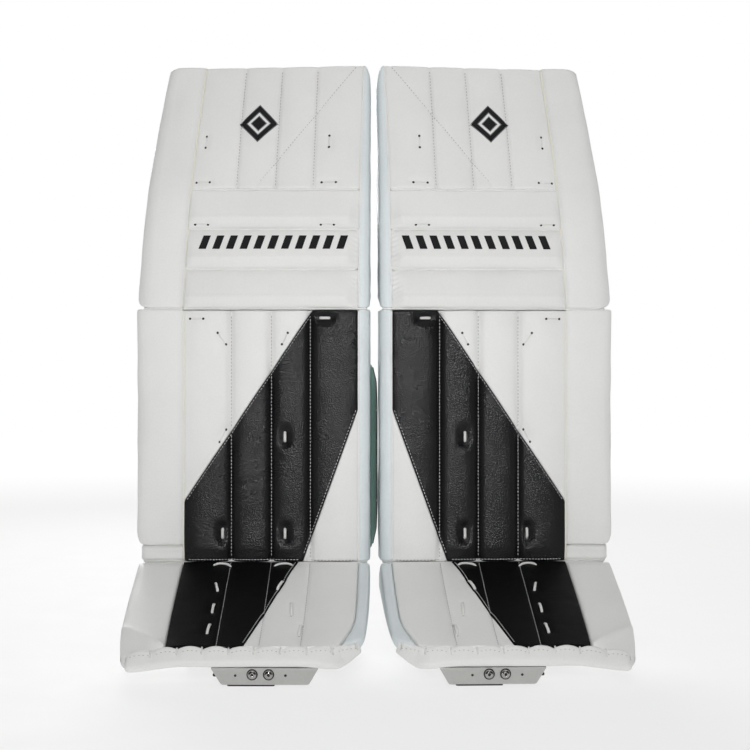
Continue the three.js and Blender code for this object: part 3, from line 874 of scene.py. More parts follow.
def build_thigh_seams(pad):
    dark, laces, holes, cords, piping = (Bundle() for _ in range(5))
    for seam in SEAMS:
        stitch_line(dark, thigh, rise_height, ((seam, RISE_START + 3), (seam, RISE_END - 3)))
    stitch_line(dark, thigh, rise_height, (DIAGONAL[1], DIAGONAL[0]))
    tie(laces, holes, thigh, rise_height, RISE_TIES, radius=0.7, rise=0.2)
    tie(laces, holes, thigh, roll_height(2), ROLL_TIES, radius=0.7, rise=0.2)
    welt(cords, thigh, ((EDGE_FACE - 0.1, 2.0), (EDGE_FACE - 0.1, RISE_END - 1)), 0.8)
    welt(piping, thigh, ((OUTER_SEAM + 0.1, 2.0), (OUTER_SEAM + 0.1, RISE_END - 1)), 0.4, radius=1.5)
    for index in range(1, 4):
        level = index * ROLL_PITCH
        welt(cords, thigh, ((EDGE_FACE + 2, level), (OUTER_SEAM - 1, level)), 0.2)
    pieces(pad, "thigh", ((cords, "seam_cords", "white"), (piping, "outer_piping", "cream"),
                          (dark, "seam_stitches", "thread_painted_shade"), (laces, "ties", "lace"),
                          (holes, "painted_hole_shades", "hole")))


def diamond(bundle, outer, inner, lift):
    """A flat diamond on the thigh, with a diamond hole."""
    tips = ((0, 1), (1, 0), (0, -1), (-1, 0))
    for tip, following in zip(tips, tips[1:] + tips[:1]):
        corners = [(EMBLEM[0] + p[0] * r * 0.98, EMBLEM[1] + p[1] * r) for p, r in
                   ((tip, outer), (following, outer), (following, inner), (tip, inner))]
        slab(bundle, thigh, rise_height, corners, lift=lift, steps=(16, 4))


def build_marks(pad):
    """Plain marks where the real pads carry lettering: slanted bars and a diamond."""
    bars, emblem, rim = Bundle(), Bundle(), Bundle()
    left, count, pitch, width, slant = 27.5, 11, 16.85, 9.0, 5.0
    high, low = 90.0, 72.5
    for k in range(count):
        s = left + k * pitch
        corners = ((s, high), (s + width, high), (s + width + slant, low), (s + slant, low))
        slab(bars, thigh, roll_height(1), corners, lift=0.3, steps=(5, 8))
    bars.piece(pad, "knee_roll_bars", "emblem", "thigh")
    band_outer, band_inner, middle, hem = 24.0, 16.5, 9.0, 1.6
    diamond(rim, band_outer + hem, band_inner - hem, 0.25)
    diamond(rim, middle + hem, 0.2, 0.25)
    diamond(emblem, band_outer, band_inner, 0.7)
    diamond(emblem, middle, 0.2, 0.7)
    emblem.piece(pad, "thigh_emblem", "emblem", "thigh")
    rim.piece(pad, "thigh_emblem_edging", "emblem_edge", "thigh")


# ---- the boot ----
BOOT_START = 1.2
BOOT_END = BOOT_LENGTH - 0.5
BOOT_GRAPHIC = ((86.0, 0.0), (137.0, BOOT_LENGTH))
BOOT_BLACK_LIFT = 0.5
BOOT_LACES = (
    ((181, 61), (176.6, 82)),
    ((178, 112), (178.5, 136)),
    ((178, 162), (180, 186)),
    ((101.5, 56), (107.5, 78)),
    ((88.5, 112), (87, 141)),
    ((74, 162), (75.5, 186)),
)


def boot_height(s, t):
    height = channels(s, FACE_BOUNDS, 2.2, groove=0.9) * (0.15 + 0.85 * smooth(0, 30, t))
    height = dimpled(height, s, t, BOOT_LACES, deep=1.6, wide=5)
    return height + 0.5 * noise(s, t, 38, 51) + 0.15 * noise(s, t, 12, 52)


def boot_ring(s, sink, toe_bottom, height=None):
    """Outline in depth and height of a slice of the boot at s."""
    heel, samples, front = 8, 64, 5
    reach = toe_reach(s)
    toe_z = BREAK_Z - BOOT_DROP * reach - sink
    bottom = toe_bottom + (1 - reach) * TOE_RISE
    corners = [(BOOT_HEEL, 98.0 - sink * 0.5), (-1.0, BREAK_Z - 0.7 - sink), (-BOOT_REACH * reach, toe_z),
               (-BOOT_REACH * reach, min(bottom, toe_z - 5)), (BOOT_HEEL, 79.0)]
    ring = soft_ring(corners, (heel, samples, front, samples, 5), 3)
    if height is not None:
        top = slice(heel, heel + samples + 1)
        along = -ring[top, 0] / BOOT_REACH * BOOT_LENGTH
        lift = height(np.full(samples + 1, s), along)
        ring[top, 1] += lift
        # the toe's front edge follows its top edge, less and less towards the sole
        ring[top.stop:top.stop + front - 1, 1] += lift[-1] * np.array([0.8, 0.6, 0.4, 0.2])
    return ring


def boot_place(ring, s):
    f = np.clip(-ring[:, 0] / BOOT_REACH, 0, None)
    across = boot_across(np.full(len(ring), float(s)), f)
    return np.stack([across, ring[:, 0], ring[:, 1]], axis=1)


def boot_roll_height(s, t):
    """The outer boot roll is a flat pillow whose toe corner folds down along a crease."""
    middle = (OUTER_SEAM + PAD_WIDTH) / 2
    swell = 3.0 * (1 - ((s - middle) / (PAD_WIDTH - middle)) ** 4)
    crease_t = mix(BOOT_LENGTH * 1.0, BOOT_LENGTH * 0.79, (s - OUTER_SEAM) / (PAD_WIDTH - OUTER_SEAM))
    beyond = np.clip(t - crease_t, 0, None)
    ridge = 1.5 * np.exp(-((t - crease_t) / 7) ** 2)
    return swell * smooth(0, 22, t) + ridge - 0.42 * beyond + 0.4 * noise(s, t, 30, 61)


def build_boot(pad):
    s_lines = lines(EDGE_FACE, OUTER_SEAM, 3.2, FACE_BOUNDS)
    t_lines = lines(BOOT_START + 0.8, BOOT_END, 3.2)
    shared = dict(depth=7.5, body="boot", fill=0.6, edge=1.8)
    start, end = BOOT_GRAPHIC
    # the boot's black is the darker, duller copy of the graphic leather: painted shade
    panel(pad, "boot_face_graphic", boot, s_lines, t_lines, raised(boot_height, BOOT_BLACK_LIFT),
          look="shaded_boot_black", cuts=((end, start),), replaces=("boot_face",), **shared)
    panel(pad, "boot_face_white", boot, s_lines, t_lines, boot_height, look="white",
          cuts=((start, end),), **shared)

    pillow(pad, "boot_core", lambda s: boot_ring(s, 8.0, TOE_BOTTOM), boot_place,
           lines(EDGE_FACE + GAP, OUTER_SEAM - GAP, 8), "white", "boot", end=1.5,
           replaces=("boot_core",), fill=0.9)
    pillow(pad, "boot_outer_roll", lambda s: boot_ring(s, 0.0, TOE_BOTTOM - 6, boot_roll_height),
           boot_place, lines(OUTER_SEAM + GAP, PAD_WIDTH, 4), "white", "boot", end=3.0,
           replaces=("boot_outer_roll",), fill=0.8)
    pillow(pad, "boot_inner_gusset", lambda s: boot_ring(s, 0.0, TOE_BOTTOM), boot_place,
           lines(0.0, EDGE_FACE - 0.2, 3), "edge", "boot", end=4.0,
           replaces=("boot_inner_gusset",), fill=0.7)
    build_boot_seams(pad)
    build_toe_lip(pad)


def build_boot_seams(pad):
    dark, pale, laces, holes = Bundle(), Bundle(), Bundle(), Bundle()
    start, end = BOOT_GRAPHIC
    slope = (end[0] - start[0]) / BOOT_LENGTH
    black = raised(boot_height, BOOT_BLACK_LIFT)
    for seam in SEAMS:
        crossing = np.clip((seam - start[0]) / slope, BOOT_START, BOOT_END)
        if crossing > BOOT_START + 6:
            stitch_line(pale, boot, black, ((seam, BOOT_START + 2), (seam, crossing - 2)), radius=0.4)
        if crossing < BOOT_END - 6:
            stitch_line(dark, boot, boot_height, ((seam, crossing + 4), (seam, BOOT_END - 2)))
    stitch_line(pale, boot, black, graphic_line(end, start, 2.0)[::-1], radius=0.4, pitch=3.6)
    tie(laces, holes, boot, black, BOOT_LACES[:4], radius=1.6, rise=1.2)
    tie(laces, holes, boot, boot_height, BOOT_LACES[4:], radius=1.9, rise=2.2, hole=1.3)
    # two more laces cross the foot of the black panel, at these places
    share = np.linspace(0, 1, 15)
    for inner, outer in ((165.6, 188.0), (92.0, 115.0)):
        s = mix(inner, outer, share)
        t = BOOT_START + 10.5 + 4.5 * (2 * share - 1) ** 2
        lift = 1.2 - 3.0 * np.abs(2 * share - 1) ** 6
        laces.tube(boot(s, t, black(s, t) + lift), 1.4, sides=8, flat=0.8)
    pieces(pad, "boot", ((dark, "seam_stitches", "thread_painted_shade"), (pale, "graphic_stitches", "thread"),
                         (laces, "laces", "lace"), (holes, "painted_hole_shades", "hole")))


SCALLOP = 28.5
LIP_STEP = 1.6
LIP_SECTION = ((-5, 21.5), (-5, 42), (0, 42), (5, 35), (10, 30), (11, 26), (9, 22), (3, 20.5))


def toe_path():
    """The toe's edge seen from above, from the outer end round the inner corner."""
    s = np.concatenate([np.linspace(PAD_WIDTH - 6, 40, 400), 40 * np.linspace(1, 0.2, 500) ** 1.6])
    edge = boot(s, np.full(len(s), BOOT_LENGTH), np.zeros(len(s)))[:, :2]
    reach = np.concatenate([[0], np.cumsum(np.linalg.norm(np.diff(edge, axis=0), axis=1))])
    along = np.linspace(0, reach[-1], int(reach[-1] / LIP_STEP))
    path = np.stack([np.interp(along, reach, edge[:, k]) for k in (0, 1)], axis=1)
    rises = (1 - toe_reach(np.interp(along, reach, s))) * TOE_RISE
    soft = np.pad(rises, 12, mode="edge")
    return along, path, np.convolve(soft, np.full(25, 1 / 25), mode="valid")


def lip_ring(profile, d, total, corner_rise):
    """The lip's section at a distance d along it: a scalloped top, lower and rounder at both ends."""
    ring = ring_inset(profile, edge_roll(min(d, total - d), 5.0))
    share = np.clip((ring[:, 1] - 30) / 12, 0, 1)
    scallop = abs(math.sin(math.pi * d / SCALLOP)) ** 0.6
    outer_end = 1 - smooth(0, 62, d)
    inner_end = smooth(total - 36, total + 2, d)
    ruffle = inner_end * math.sin(d * 0.9) * 0.9
    z = ring[:, 1] + share * (4.0 * scallop - 2.4) - 6.5 * outer_end
    rise = 0.5 * corner_rise * (1 - outer_end) * inner_end
    z = rise + mix(z, 27 + (z - 22) * 0.6, inner_end**1.5)
    # the underside dips where the lip turns the inner corner
    z = z - 2.4 * math.exp(-(((total - 36 - d) / 20) ** 2)) * (1 - share)
    out = ring[:, 0] * (1 - 0.5 * inner_end) + share * (0.8 * scallop + ruffle)
    out = out + 0.5 * noise(d, 0.0, 30, 71) - 0.6 * inner_end
    return out, z + 0.5 * noise(d, 5.0, 24, 72)


def build_toe_lip(pad):
    """The sole-edge binding laced along the toe: a rounded strip with a scalloped upper edge."""
    along, path, rises = toe_path()
    tangent = np.gradient(path, axis=0)
    for _ in range(4):
        tangent[1:-1] = (tangent[:-2] + 2 * tangent[1:-1] + tangent[2:]) / 4
    tangent /= np.linalg.norm(tangent, axis=1, keepdims=True)
    outward = np.stack([-tangent[:, 1], tangent[:, 0]], axis=1)
    if outward[0, 1] > 0:
        outward = -outward
    profile = soft_ring(LIP_SECTION, (6, 3, 3, 3, 2, 2, 2, 3), passes=2)
    total = along[-1]
    rings, crests = [], []
    for place, away, corner_rise, d in zip(path, outward, rises, along):
        out, z = lip_ring(profile, d, total, corner_rise)
        rings.append(np.column_stack([place + away * out[:, None], z]))
        crests.append((place, away, z.max(), d))
    points, faces = loft(rings)
    add_piece(pad, "toe_lip", points, faces, "white", "boot", replaces=("toe_lip",), fill=0.8)
    stitches, laces = Bundle(), Bundle()
    for k in range(2, len(crests) - 2):
        place, out, top, d = crests[k]
        phase = d / SCALLOP
        if k % 3 == 0 and abs(phase - round(phase)) > 0.08:
            after = crests[k + 1][0]
            ends = [np.array([*(p + out * 4.2), top - 4.2]) for p in (place, after)]
            stitches.tube(ends, 0.3, sides=5)
    for k in range(1, int(total / SCALLOP) + 1):
        place, out, top, _ = crests[min(int(k * SCALLOP / total * (len(crests) - 1)), len(crests) - 2)]
        reach = ((-3.5, 0.6), (-1.0, 1.4), (1.6, 0.4), (3.6, -3.0), (4.6, -6.0))
        laces.tube([np.array([*(place + out * o), top + z]) for o, z in reach], 1.0, sides=7)
    stitches.piece(pad, "toe_lip_stitches", "thread_painted_shade", "boot")
    laces.piece(pad, "toe_lip_laces", "lace", "boot")


# ---- the core, the linings and the folds at the two breaks ----
def thigh_back(s, t, h):
    return thigh(s, t, -BACK_DEPTH - h)


def shin_back(s, t, h):
    return shin(s, t, -BACK_DEPTH - h)


def quilt(across, along, puff, seed):
    """Height of a quilted lining, sewn in lines both ways."""
    def height(s, t):
        a = np.abs(np.sin(np.pi * (s - EDGE_FACE) / across)) ** 0.45
        b = np.abs(np.sin(np.pi * t / along)) ** 0.45
        return puff * a * b + 0.3 * noise(s, t, 18, seed)
    return height


def build_backs(pad):
    inner, outer = EDGE_FACE + GAP, OUTER_SEAM - GAP

    def core_outline(t):
        return rounded_box(inner, outer, 9.0, PAD_DEPTH - 6, (1, 1, 2, 2))

    bolster(pad, "thigh_core", thigh, core_outline, lines(2.0, THIGH_LENGTH - 5, 8), "white", "thigh",
            end=1.5, waves=0.2, shear=knee_bevel, replaces=("thigh_core",), fill=0.9)
    bolster(pad, "shin_core", shin, core_outline, lines(SHIN_BOTTOM + 1, SHIN_TOP, 12), "white", "shin",
            end=1.5, waves=0.2, replaces=("shin_core",), fill=0.9)

    def binding_ring(s):
        top = THIGH_LENGTH
        corners = [(top - 6, 1.5), (top - 0.5, 3), (top - 0.5, PAD_DEPTH - 4), (top - 6, PAD_DEPTH - 2)]
        return soft_ring(corners, (3, 14, 3, 14), 2)

    def binding_place(ring, s):
        return thigh(np.full(len(ring), float(s)), ring[:, 0] - 0.4 * abs(math.sin(s / 19)), -ring[:, 1])

    pillow(pad, "thigh_top_binding", binding_ring, binding_place, lines(EDGE_FACE - 3, OUTER_SEAM + 2, 5),
           "white", "thigh", end=2.0, fill=0.8)

    s_lines = lines(inner, outer, 3.4)
    t_lines = lines(6 + PAD_DEPTH * KNEE_BEVEL, THIGH_LENGTH - 4, 3.4)
    panel(pad, "thigh_back_lining", thigh_back, s_lines, t_lines, quilt(41.6, 36.0, 4.5, 91),
          depth=4.6, look="lining", body="thigh", edge=3.0, fill=0.7)
    t_lines = lines(SHIN_BOTTOM + 1, SHIN_TOP - 1, 3.4)
    panel(pad, "shin_back_lining", shin_back, s_lines, t_lines, quilt(41.6, 30.0, 3.0, 92),
          depth=4.6, look="lining", body="shin", edge=3.0, replaces=("shin_back_lining",), fill=0.7)
    build_bellows(pad)


def bellows(pad, name, start, end, w_range, ribs, a, b):
    """A ribbed leather fold that fills the wedge of space at a break."""
    corners = [(3, w_range[0]), (PAD_WIDTH - 4, w_range[0]), (PAD_WIDTH - 4, w_range[1]), (3, w_range[1])]
    outline = soft_ring(corners, (30, 8, 30, 8), 2)
    rings = []
    deepest, steps = 2.4, ribs * 8
    for k in range(steps + 1):
        q = k / steps
        ring = ring_inset(outline, deepest * (0.5 + 0.5 * math.cos(2 * math.pi * ribs * q)))
        rings.append(mix(start(ring), end(ring), q))
    points, faces = loft(rings)
    made = add_piece(pad, name, points, faces, "white", a, ride=False, fill=0.6)
    pad.named(a)
    pad.named(b)
    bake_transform(made)


def build_bellows(pad):
    def thigh_foot(ring):
        return thigh(ring[:, 0], 4.5 + ring[:, 1] * KNEE_BEVEL, -ring[:, 1])

    bellows(pad, "knee_bellows", lambda ring: upright(ring, SHIN_TOP - 2.5), thigh_foot, (4, PAD_DEPTH - 7),
            3, "shin", "thigh")

    def boot_top(ring):
        y = ring[:, 1]
        return np.column_stack([ring, mix(BREAK_Z - 3, 98.0, y / BOOT_HEEL) - 3.0])

    bellows(pad, "boot_bellows", boot_top, lambda ring: upright(ring, SHIN_BOTTOM + 3.0),
            (1, BOOT_HEEL - 5), 2, "boot", "shin")


# ---- the leg channel: blocks, wings and straps ----
CHANNEL_BACK = 120.0
KNEE_BACK = 128.0
CALF_BLOCK_Z = (124.0, 357.0)
STACK_Z = (432.0, 536.0)
STACK_U = (4.0, 58.0)
WING = 12.0
WING_RADIUS = 34.0
# for each wing: body, hinge (u, y), how far back it reaches, z range, y of its root, body of its root
WINGS = {
    "calf_wing": ("calf_flap", (262.0, 68.0), CHANNEL_BACK, (140.0, 352.0), 50.0, "shin"),
    "knee_wing": ("knee_flap", (252.0, 92.0), KNEE_BACK, (442.0, 530.0), 58.0, "thigh"),
}
# for each strap: body, u range, y of its inner face, middle z, width
STRAPS = {
    "calf_strap": ("calf_flap", (9.0, 189.0), CHANNEL_BACK + 0.3, 250.0, 50.0),
    "knee_strap": ("knee_flap", (11.0, 189.0), KNEE_BACK + 0.3, 486.0, 50.0),
    "boot_strap": ("boot_strap", (25.0, 213.0), 60.5, 37.0, 30.0),
}
WEDGES = {"boot_wedge_inner": (36.0, 66.0), "boot_wedge_outer": (176.0, 214.0)}


def build_calf_block(pad):
    reach = pad.calf_reach
    z0, z1 = CALF_BLOCK_Z
    tapers = ((z0, 1.0), (z0 + 24, 0.25), (z0 + 60, 0.0), (z1 - 60, 0.0), (z1 - 24, 0.25), (z1, 1.0))
    heights, eases = zip(*tapers)

    def ring_at(z):
        e = float(np.interp(z, heights, eases))
        e = e * e * (3 - 2 * e) * 0.6 + e * 0.4
        back = CHANNEL_BACK - 34 * e
        front = PAD_DEPTH + 2.5
        corners = [(reach + 6 * e, front), (46 - 4 * e, front), (46 - 4 * e, back - 12), (35, back),
                   (reach + 13 + 6 * e, back), (reach + 6 * e, back - 12)]
        return soft_ring(corners, (10, 9, 4, 8, 4, 9), 3)

    pillow(pad, "calf_block", ring_at, upright, lines(z0, z1, 5), "sage", "shin", end=7.0,
           replaces=("calf_block",), fill=0.8)
    piping, thread = Bundle(), Bundle()
    count = len(ring_at(z0))
    for k in (19, 24, 32, 36):
        path = []
        for z in np.linspace(z0 + 7, z1 - 7, 60):
            ring = ring_inset(ring_at(z), -0.4)
            path.append((*ring[k % count], z))
        piping.tube(path, 1.2, sides=8, up=(1, 0, 0))
    for z in (z0 + 60, z1 - 60):
        ring = ring_inset(ring_at(z), -0.2)
        for k in range(11, 43):
            a, b = ring[k % count], ring[(k + 1) % count]
            thread.tube([(*mix(a, b, 0.15), z), (*mix(a, b, 0.8), z)], 0.5, sides=5, up=(0, 0, 1))
    piping.piece(pad, "calf_block_piping", "black", "shin")
    thread.piece(pad, "calf_block_stitches", "thread", "shin")


def build_knee_stack(pad):
    z0, z1 = STACK_Z
    u0, u1 = STACK_U
    layers = (("base", 0.0, 0.34, "white", 0.0), ("middle", 0.345, 0.66, "black", 2.0),
              ("top", 0.665, 1.0, "white", 0.5))

    def front(z):
        t = (z - KNEE_Z) * 1.03 + 9
        y, lean = np.interp(t, LEAN_TABLE, LEAN_Y), np.interp(t, LEAN_TABLE, LEANS)
        return y + PAD_DEPTH * np.cos(lean) + 4.5

    for name, share0, share1, look, inset in layers:
        outline = soft_ring([(u0 + inset, z0 + inset), (u1 - inset, z0 + inset), (u1 - inset, z1 - inset),
                             (u0 + inset, z1 - inset)], (12, 20, 12, 20), 4)

        def place(ring, w):
            gap = front(ring[:, 1])
            share = w / 100.0
            bulge = 1.2 * np.sin(np.pi * (ring[:, 1] - z0) / (z1 - z0)) if share > 0.98 else 0
            return np.column_stack([ring[:, 0], mix(gap, KNEE_BACK - 1.5, share) + bulge, ring[:, 1]])

        stations = lines(share0 * 100, share1 * 100, 5, near=(0.0, 0.7, 2.0, 4.5))
        replaced = ("knee_stack",) if name == "base" else ()
        pillow(pad, "knee_stack_" + name, lambda w: outline, place, stations, look, "thigh", end=4.5,
               replaces=replaced, fill=0.85)


def wing_section(hinge, back, inner):
    """How a wing bends: straight back from its hinge, a quarter turn, then inwards."""
    radius = WING_RADIUS - WING / 2
    corner = (hinge[0] - radius, back - WING / 2 - radius)
    straight = corner[1] - hinge[1]
    turn = radius * math.pi / 2
    length = straight + turn + corner[0] - inner

    def section(s, t, h):
        angle = np.clip((s - straight) / radius, 0, math.pi / 2)
        past = np.clip(s - straight - turn, 0, None)
        before = np.minimum(s, straight)
        u = corner[0] + radius * np.cos(angle) - past + h * np.cos(angle)
        y = np.where(s < straight, hinge[1] + before, corner[1] + radius * np.sin(angle))
        return np.stack([u, y + h * np.sin(angle), t], axis=1)

    return section, length


def build_wing(pad, name, body, hinge, back, z_range, root, root_body):
    """A padded wing with its lining, binding and stitches, and the tab that it hinges on."""
    section, length = wing_section(hinge, back, 150.0)
    z0, z1 = z_range
    seams = [z0 + (z1 - z0) * k / 3 for k in range(4)]

    def height(s, t):
        swell = channels(t, seams, 2.0, groove=1.0)
        return 4.0 + swell + 0.3 * noise(s, t, 25, 101)

    panel(pad, name, section, lines(0.0, length, 3.0), lines(z0, z1, 3.4), height, depth=5.5,
          look="white", body=body, edge=2.5, replaces=(name,), fill=0.8)
    inside = lambda s, t, h: section(s, t, -5.6 - h)
    panel(pad, name + "_lining", inside, lines(3, length - 3, 4), lines(z0 + 3, z1 - 3, 4),
          quilt(30.0, 24.0, 1.2, 102), depth=0.3, look="lining", body=body, edge=0.8, fill=0.6)
    binding, thread = Bundle(), Bundle()
    end, low, high = length - 1.5, z0 + 1.5, z1 - 1.5
    s = np.linspace(0.5, end, 90)
    for z in (low, high):
        binding.tube(section(s, np.full(90, z), np.full(90, -0.5)), 2.8, sides=10, up=(0, 0, 1))
    t = np.linspace(low, high, 60)
    binding.tube(section(np.full(60, end), t, np.full(60, -0.5)), 2.8, sides=10, up=(0, 1, 0))
    for z in (z0 + 7, z1 - 7, seams[1], seams[2]):
        stitch_line(thread, section, height, ((4, z), (length - 6, z)))
    stitch_line(thread, section, height, ((length - 7, z0 + 7), (length - 7, z1 - 7)))
    binding.piece(pad, name + "_binding", "black", body)
    thread.piece(pad, name + "_stitches", "thread_painted_shade", body)
    ring = soft_ring([(hinge[0] - 5, root), (hinge[0] + 3, root), (hinge[0] + 2.5, hinge[1] + 0.5),
                      (hinge[0] - 2.5, hinge[1] + 0.5)], (3, 8, 3, 8), 1)

    def place(ring, z):
        # on the thigh, the tab's root follows the leaning back
        lean = np.interp(z - KNEE_Z, LEAN_Z, LEAN_Y) - 10.0 if root_body == "thigh" else 0.0
        share = np.clip((hinge[1] - ring[:, 1]) / (hinge[1] - root), 0, 1)
        return upright(np.column_stack([ring[:, 0], ring[:, 1] + lean * share]), z)

    pillow(pad, name + "_hinge_tab", lambda z: ring, place, lines(z0 + 6, z1 - 6, 6), "white",
           root_body, end=1.5, fill=0.7)


def build_strap(pad, name, body, u_range, back, z, width):
    """A band of webbing with leather at both ends, pressed onto the block by hook and loop."""
    u0, u1 = u_range
    half = width / 2

    def section(s, t, h):
        ends = 1 - 0.06 * smooth(18, 0, s - u0)
        return np.stack([s, back + h + 0.3 * np.sin(s / 23), z + t * ends], axis=1)

    def weave(s, t):
        return 2.6 - 0.7 * smooth(half - 3, half - 1, np.abs(t)) + 0.1 * noise(s, t, 9, 111)

    panel(pad, name, section, lines(u0, u1, 4), lines(-half, half, 3), weave, depth=-0.2,
          look="webbing", body=body, edge=0.7, replaces=(name,), fill=0.6)
    thread = Bundle()
    covers = (("tip", u0 - 1, u0 + 26, 4.2, 112, u0 + 3, u0 + 22),
              ("anchor", u1 - 30, u1 + 1, 3.9, 113, u1 - 26, u1 - 3))
    for part, start, end, lift, seed, s0, s1 in covers:
        cover = lambda s, t: lift + 0.15 * noise(s, t, 9, seed)
        panel(pad, name + "_" + part, section, lines(start, end, 3), lines(-half - 0.8, half + 0.8, 3),
              cover, depth=-2.0, look="black", body=body, edge=0.9, fill=0.6)
        box = ((s0, -half + 3), (s1, -half + 3), (s1, half - 3), (s0, half - 3), (s0, -half + 3))
        for line in (*zip(box, box[1:]), (box[0], box[2]), (box[1], box[3])):
            stitch_line(thread, section, cover, line, pitch=3.4, radius=0.4)
    thread.piece(pad, name + "_stitches", "thread", body)


def build_wedge(pad, name, u0, u1):
    """A block beside the skate, under the boot, with a row of stitches round each side."""
    slope = (BREAK_Z - 37 - TOE_BOTTOM) / (BOOT_HEEL + BOOT_REACH)
    under = lambda y: TOE_BOTTOM + (y + BOOT_REACH) * slope - 0.5
    corners = [(-76, 2), (-60, 0), (50, 0), (60, 9), (60, 62), (48, 75), (BOOT_HEEL, under(BOOT_HEEL)),
               (-78, under(-78))]
    ring = soft_ring(corners, (4, 24, 3, 12, 3, 3, 26, 8), 2)
    place = lambda ring, u: np.column_stack([np.full(len(ring), float(u)), ring])
    pillow(pad, name, lambda u: ring, place, lines(u0, u1, 4), "white", "boot", end=3.0,
           replaces=(name,), fill=0.85)
    thread = Bundle()
    rim = ring_inset(ring, 4.0)
    for u in (u0 + 0.1, u1 - 0.1):
        for k in range(len(rim)):
            a, b = rim[k], rim[(k + 1) % len(rim)]
            thread.tube([(u, *mix(a, b, 0.15)), (u, *mix(a, b, 0.8))], 0.45, sides=5, up=(1, 0, 0))
    thread.piece(pad, name + "_stitches", "thread_painted_shade", "boot")


# ---- the toe bridge ----
BRIDGE_FRONT = -BOOT_REACH - 5
BRIDGE_DEPTH = 14.0
BRIDGE_BASE = (64.5, 160.5)
BRIDGE_TOP = (53.5, 172.5)
BRIDGE_LIFT = 1.7  # the toe strap passes under the plate
SCREW_U = (108.5, 126.5)
SCREW_Z = 13.0
RIVET_U = (90.0, 145.0)
RIVET_Z = 12.0
LOOP_WIDTH = 52.0
LOOP_LENGTH = 34.0


def turned(bundle, profile, centre, sides=28):
    """A turned shape whose axis runs forwards from the bridge: profile is (out, radius) pairs."""
    rings = []
    angles = np.linspace(0, 2 * np.pi, sides, endpoint=False)
    for out, radius in profile:
        rings.append(np.column_stack([centre[0] + radius * np.cos(angles), np.full(sides, centre[1] - out),
                                      centre[2] + radius * np.sin(angles)]))
    bundle.add(*loft(rings))


def on_bridge(ring, y):
    return np.column_stack([ring[:, 0], np.full(len(ring), y), ring[:, 1]])


def build_bridge(pad):
    top = TOE_BOTTOM - 1.6
    corners = [(BRIDGE_BASE[0], BRIDGE_LIFT), (BRIDGE_BASE[1], BRIDGE_LIFT), (BRIDGE_TOP[1], top),
               (BRIDGE_TOP[0], top)]
    outline = soft_ring(corners, (40, 12, 46, 12), 1)
    stations = [BRIDGE_FRONT + d for d in (0, 0.1, 0.4, 0.9, 1.6, 12.4, 13.1, 13.6, 13.9, 14.0)]
    pillow(pad, "toe_bridge", lambda y: outline, on_bridge, stations, "plastic", "boot", end=0.9,
           replaces=("toe_bridge",))
    # a dark strip in the gap between the plate and the lip above it: painted shade
    gap_shade_strip = soft_ring([(54.5, TOE_BOTTOM - 3), (172, TOE_BOTTOM - 3), (171, TOE_BOTTOM + 3),
                        (55, TOE_BOTTOM + 3)], (26, 3, 26, 3), 1)
    stations = [BRIDGE_FRONT + d for d in (1.0, 1.3, 11.0, 11.3)]
    pillow(pad, "toe_bridge_gap_shade", lambda y: gap_shade_strip, on_bridge, stations, "hole", "boot", end=0.3)
    for k, u in enumerate(SCREW_U):
        build_screw(pad, "toe_bridge_screw_" + str(k + 1), (u, BRIDGE_FRONT, SCREW_Z))
    rivets, nub = Bundle(), Bundle()
    rivet = [(-0.3, 0.0), (-0.3, 1.5), (0.2, 1.4), (0.5, 0.9), (0.6, 0.0)]
    for u in RIVET_U:
        turned(rivets, rivet, (u, BRIDGE_FRONT, RIVET_Z), sides=16)
    rivets.piece(pad, "toe_bridge_rivets", "hole", "boot")
    nub.tube([(u, BRIDGE_FRONT + 5, RIVET_Z) for u in (164, 169, 170)], (1.9, 1.9, 1.2), sides=14)
    nub.piece(pad, "toe_bridge_nub", "hole", "boot")


def build_screw(pad, name, centre):
    """A round-headed screw on its dark washer. Its hexagon socket is a dark hexagon nearly flush with the
    head: painted shade.
    """
    head, socket, washer = Bundle(), Bundle(), Bundle()
    dome = [(0.7 + 3.4 * math.sin(a), 5.2 * math.cos(a)) for a in np.linspace(0, 1.25, 9)]
    turned(head, [(0.5, 0.0), (0.5, 5.1), *dome, (3.6, 1.5), (3.6, 0.0)], centre)
    # the socket: a dark hexagon filling a shallow dip in the head, painted shade
    turned(socket, [(3.6, 0.0), (3.6, 1.4), (3.9, 1.5), (3.9, 0.0)], centre, sides=6)
    turned(washer, [(-0.5, 0.0), (-0.5, 6.0), (0.3, 6.2), (0.6, 5.9), (0.6, 0.0)], centre)
    head.piece(pad, name, "steel", "boot", replaces=(name,))
    socket.piece(pad, name + "_socket", "hole", "boot")
    washer.piece(pad, name + "_washer", "hole", "boot")


def build_toe_strap(pad):
    """The webbing loop behind the bridge, and the band under the bridge that holds it."""
    start, end = pad.loop_start, pad.loop_start + LOOP_WIDTH
    keeper = soft_ring([(start, 0.1), (end, 0.1), (end, 1.6), (start, 1.6)], (20, 2, 20, 2), 1)
    stations = [BRIDGE_FRONT + d for d in (1.0, 1.4, 6.0, 12.0, 13.6, 14.0)]
    pillow(pad, "toe_strap_keeper", lambda y: keeper, on_bridge, stations, "webbing", "boot", end=0.3)
    y0 = BRIDGE_FRONT + BRIDGE_DEPTH + 0.5
    flat = lambda s, t, h: np.stack([s, t, h], axis=1)
    middle = (start + end) / 2
    weave = lambda s, t: 3.0 + 0.1 * noise(s, t, 9, 121) - 0.5 * smooth(22, 25, np.abs(s - middle))
    panel(pad, "toe_loop", flat, lines(start + 0.5, end - 0.5, 3), lines(y0, y0 + LOOP_LENGTH, 3), weave,
          depth=-0.4, look="webbing", body="toe_loop", edge=0.7, replaces=("toe_loop",), fill=0.6)
    thread = Bundle()
    for y in (y0 + 4, y0 + LOOP_LENGTH - 4):
        stitch_line(thread, flat, weave, ((start + 3, y), (end - 3, y)), pitch=3.2, radius=0.4)
    thread.piece(pad, "toe_loop_stitches", "thread", "toe_loop")


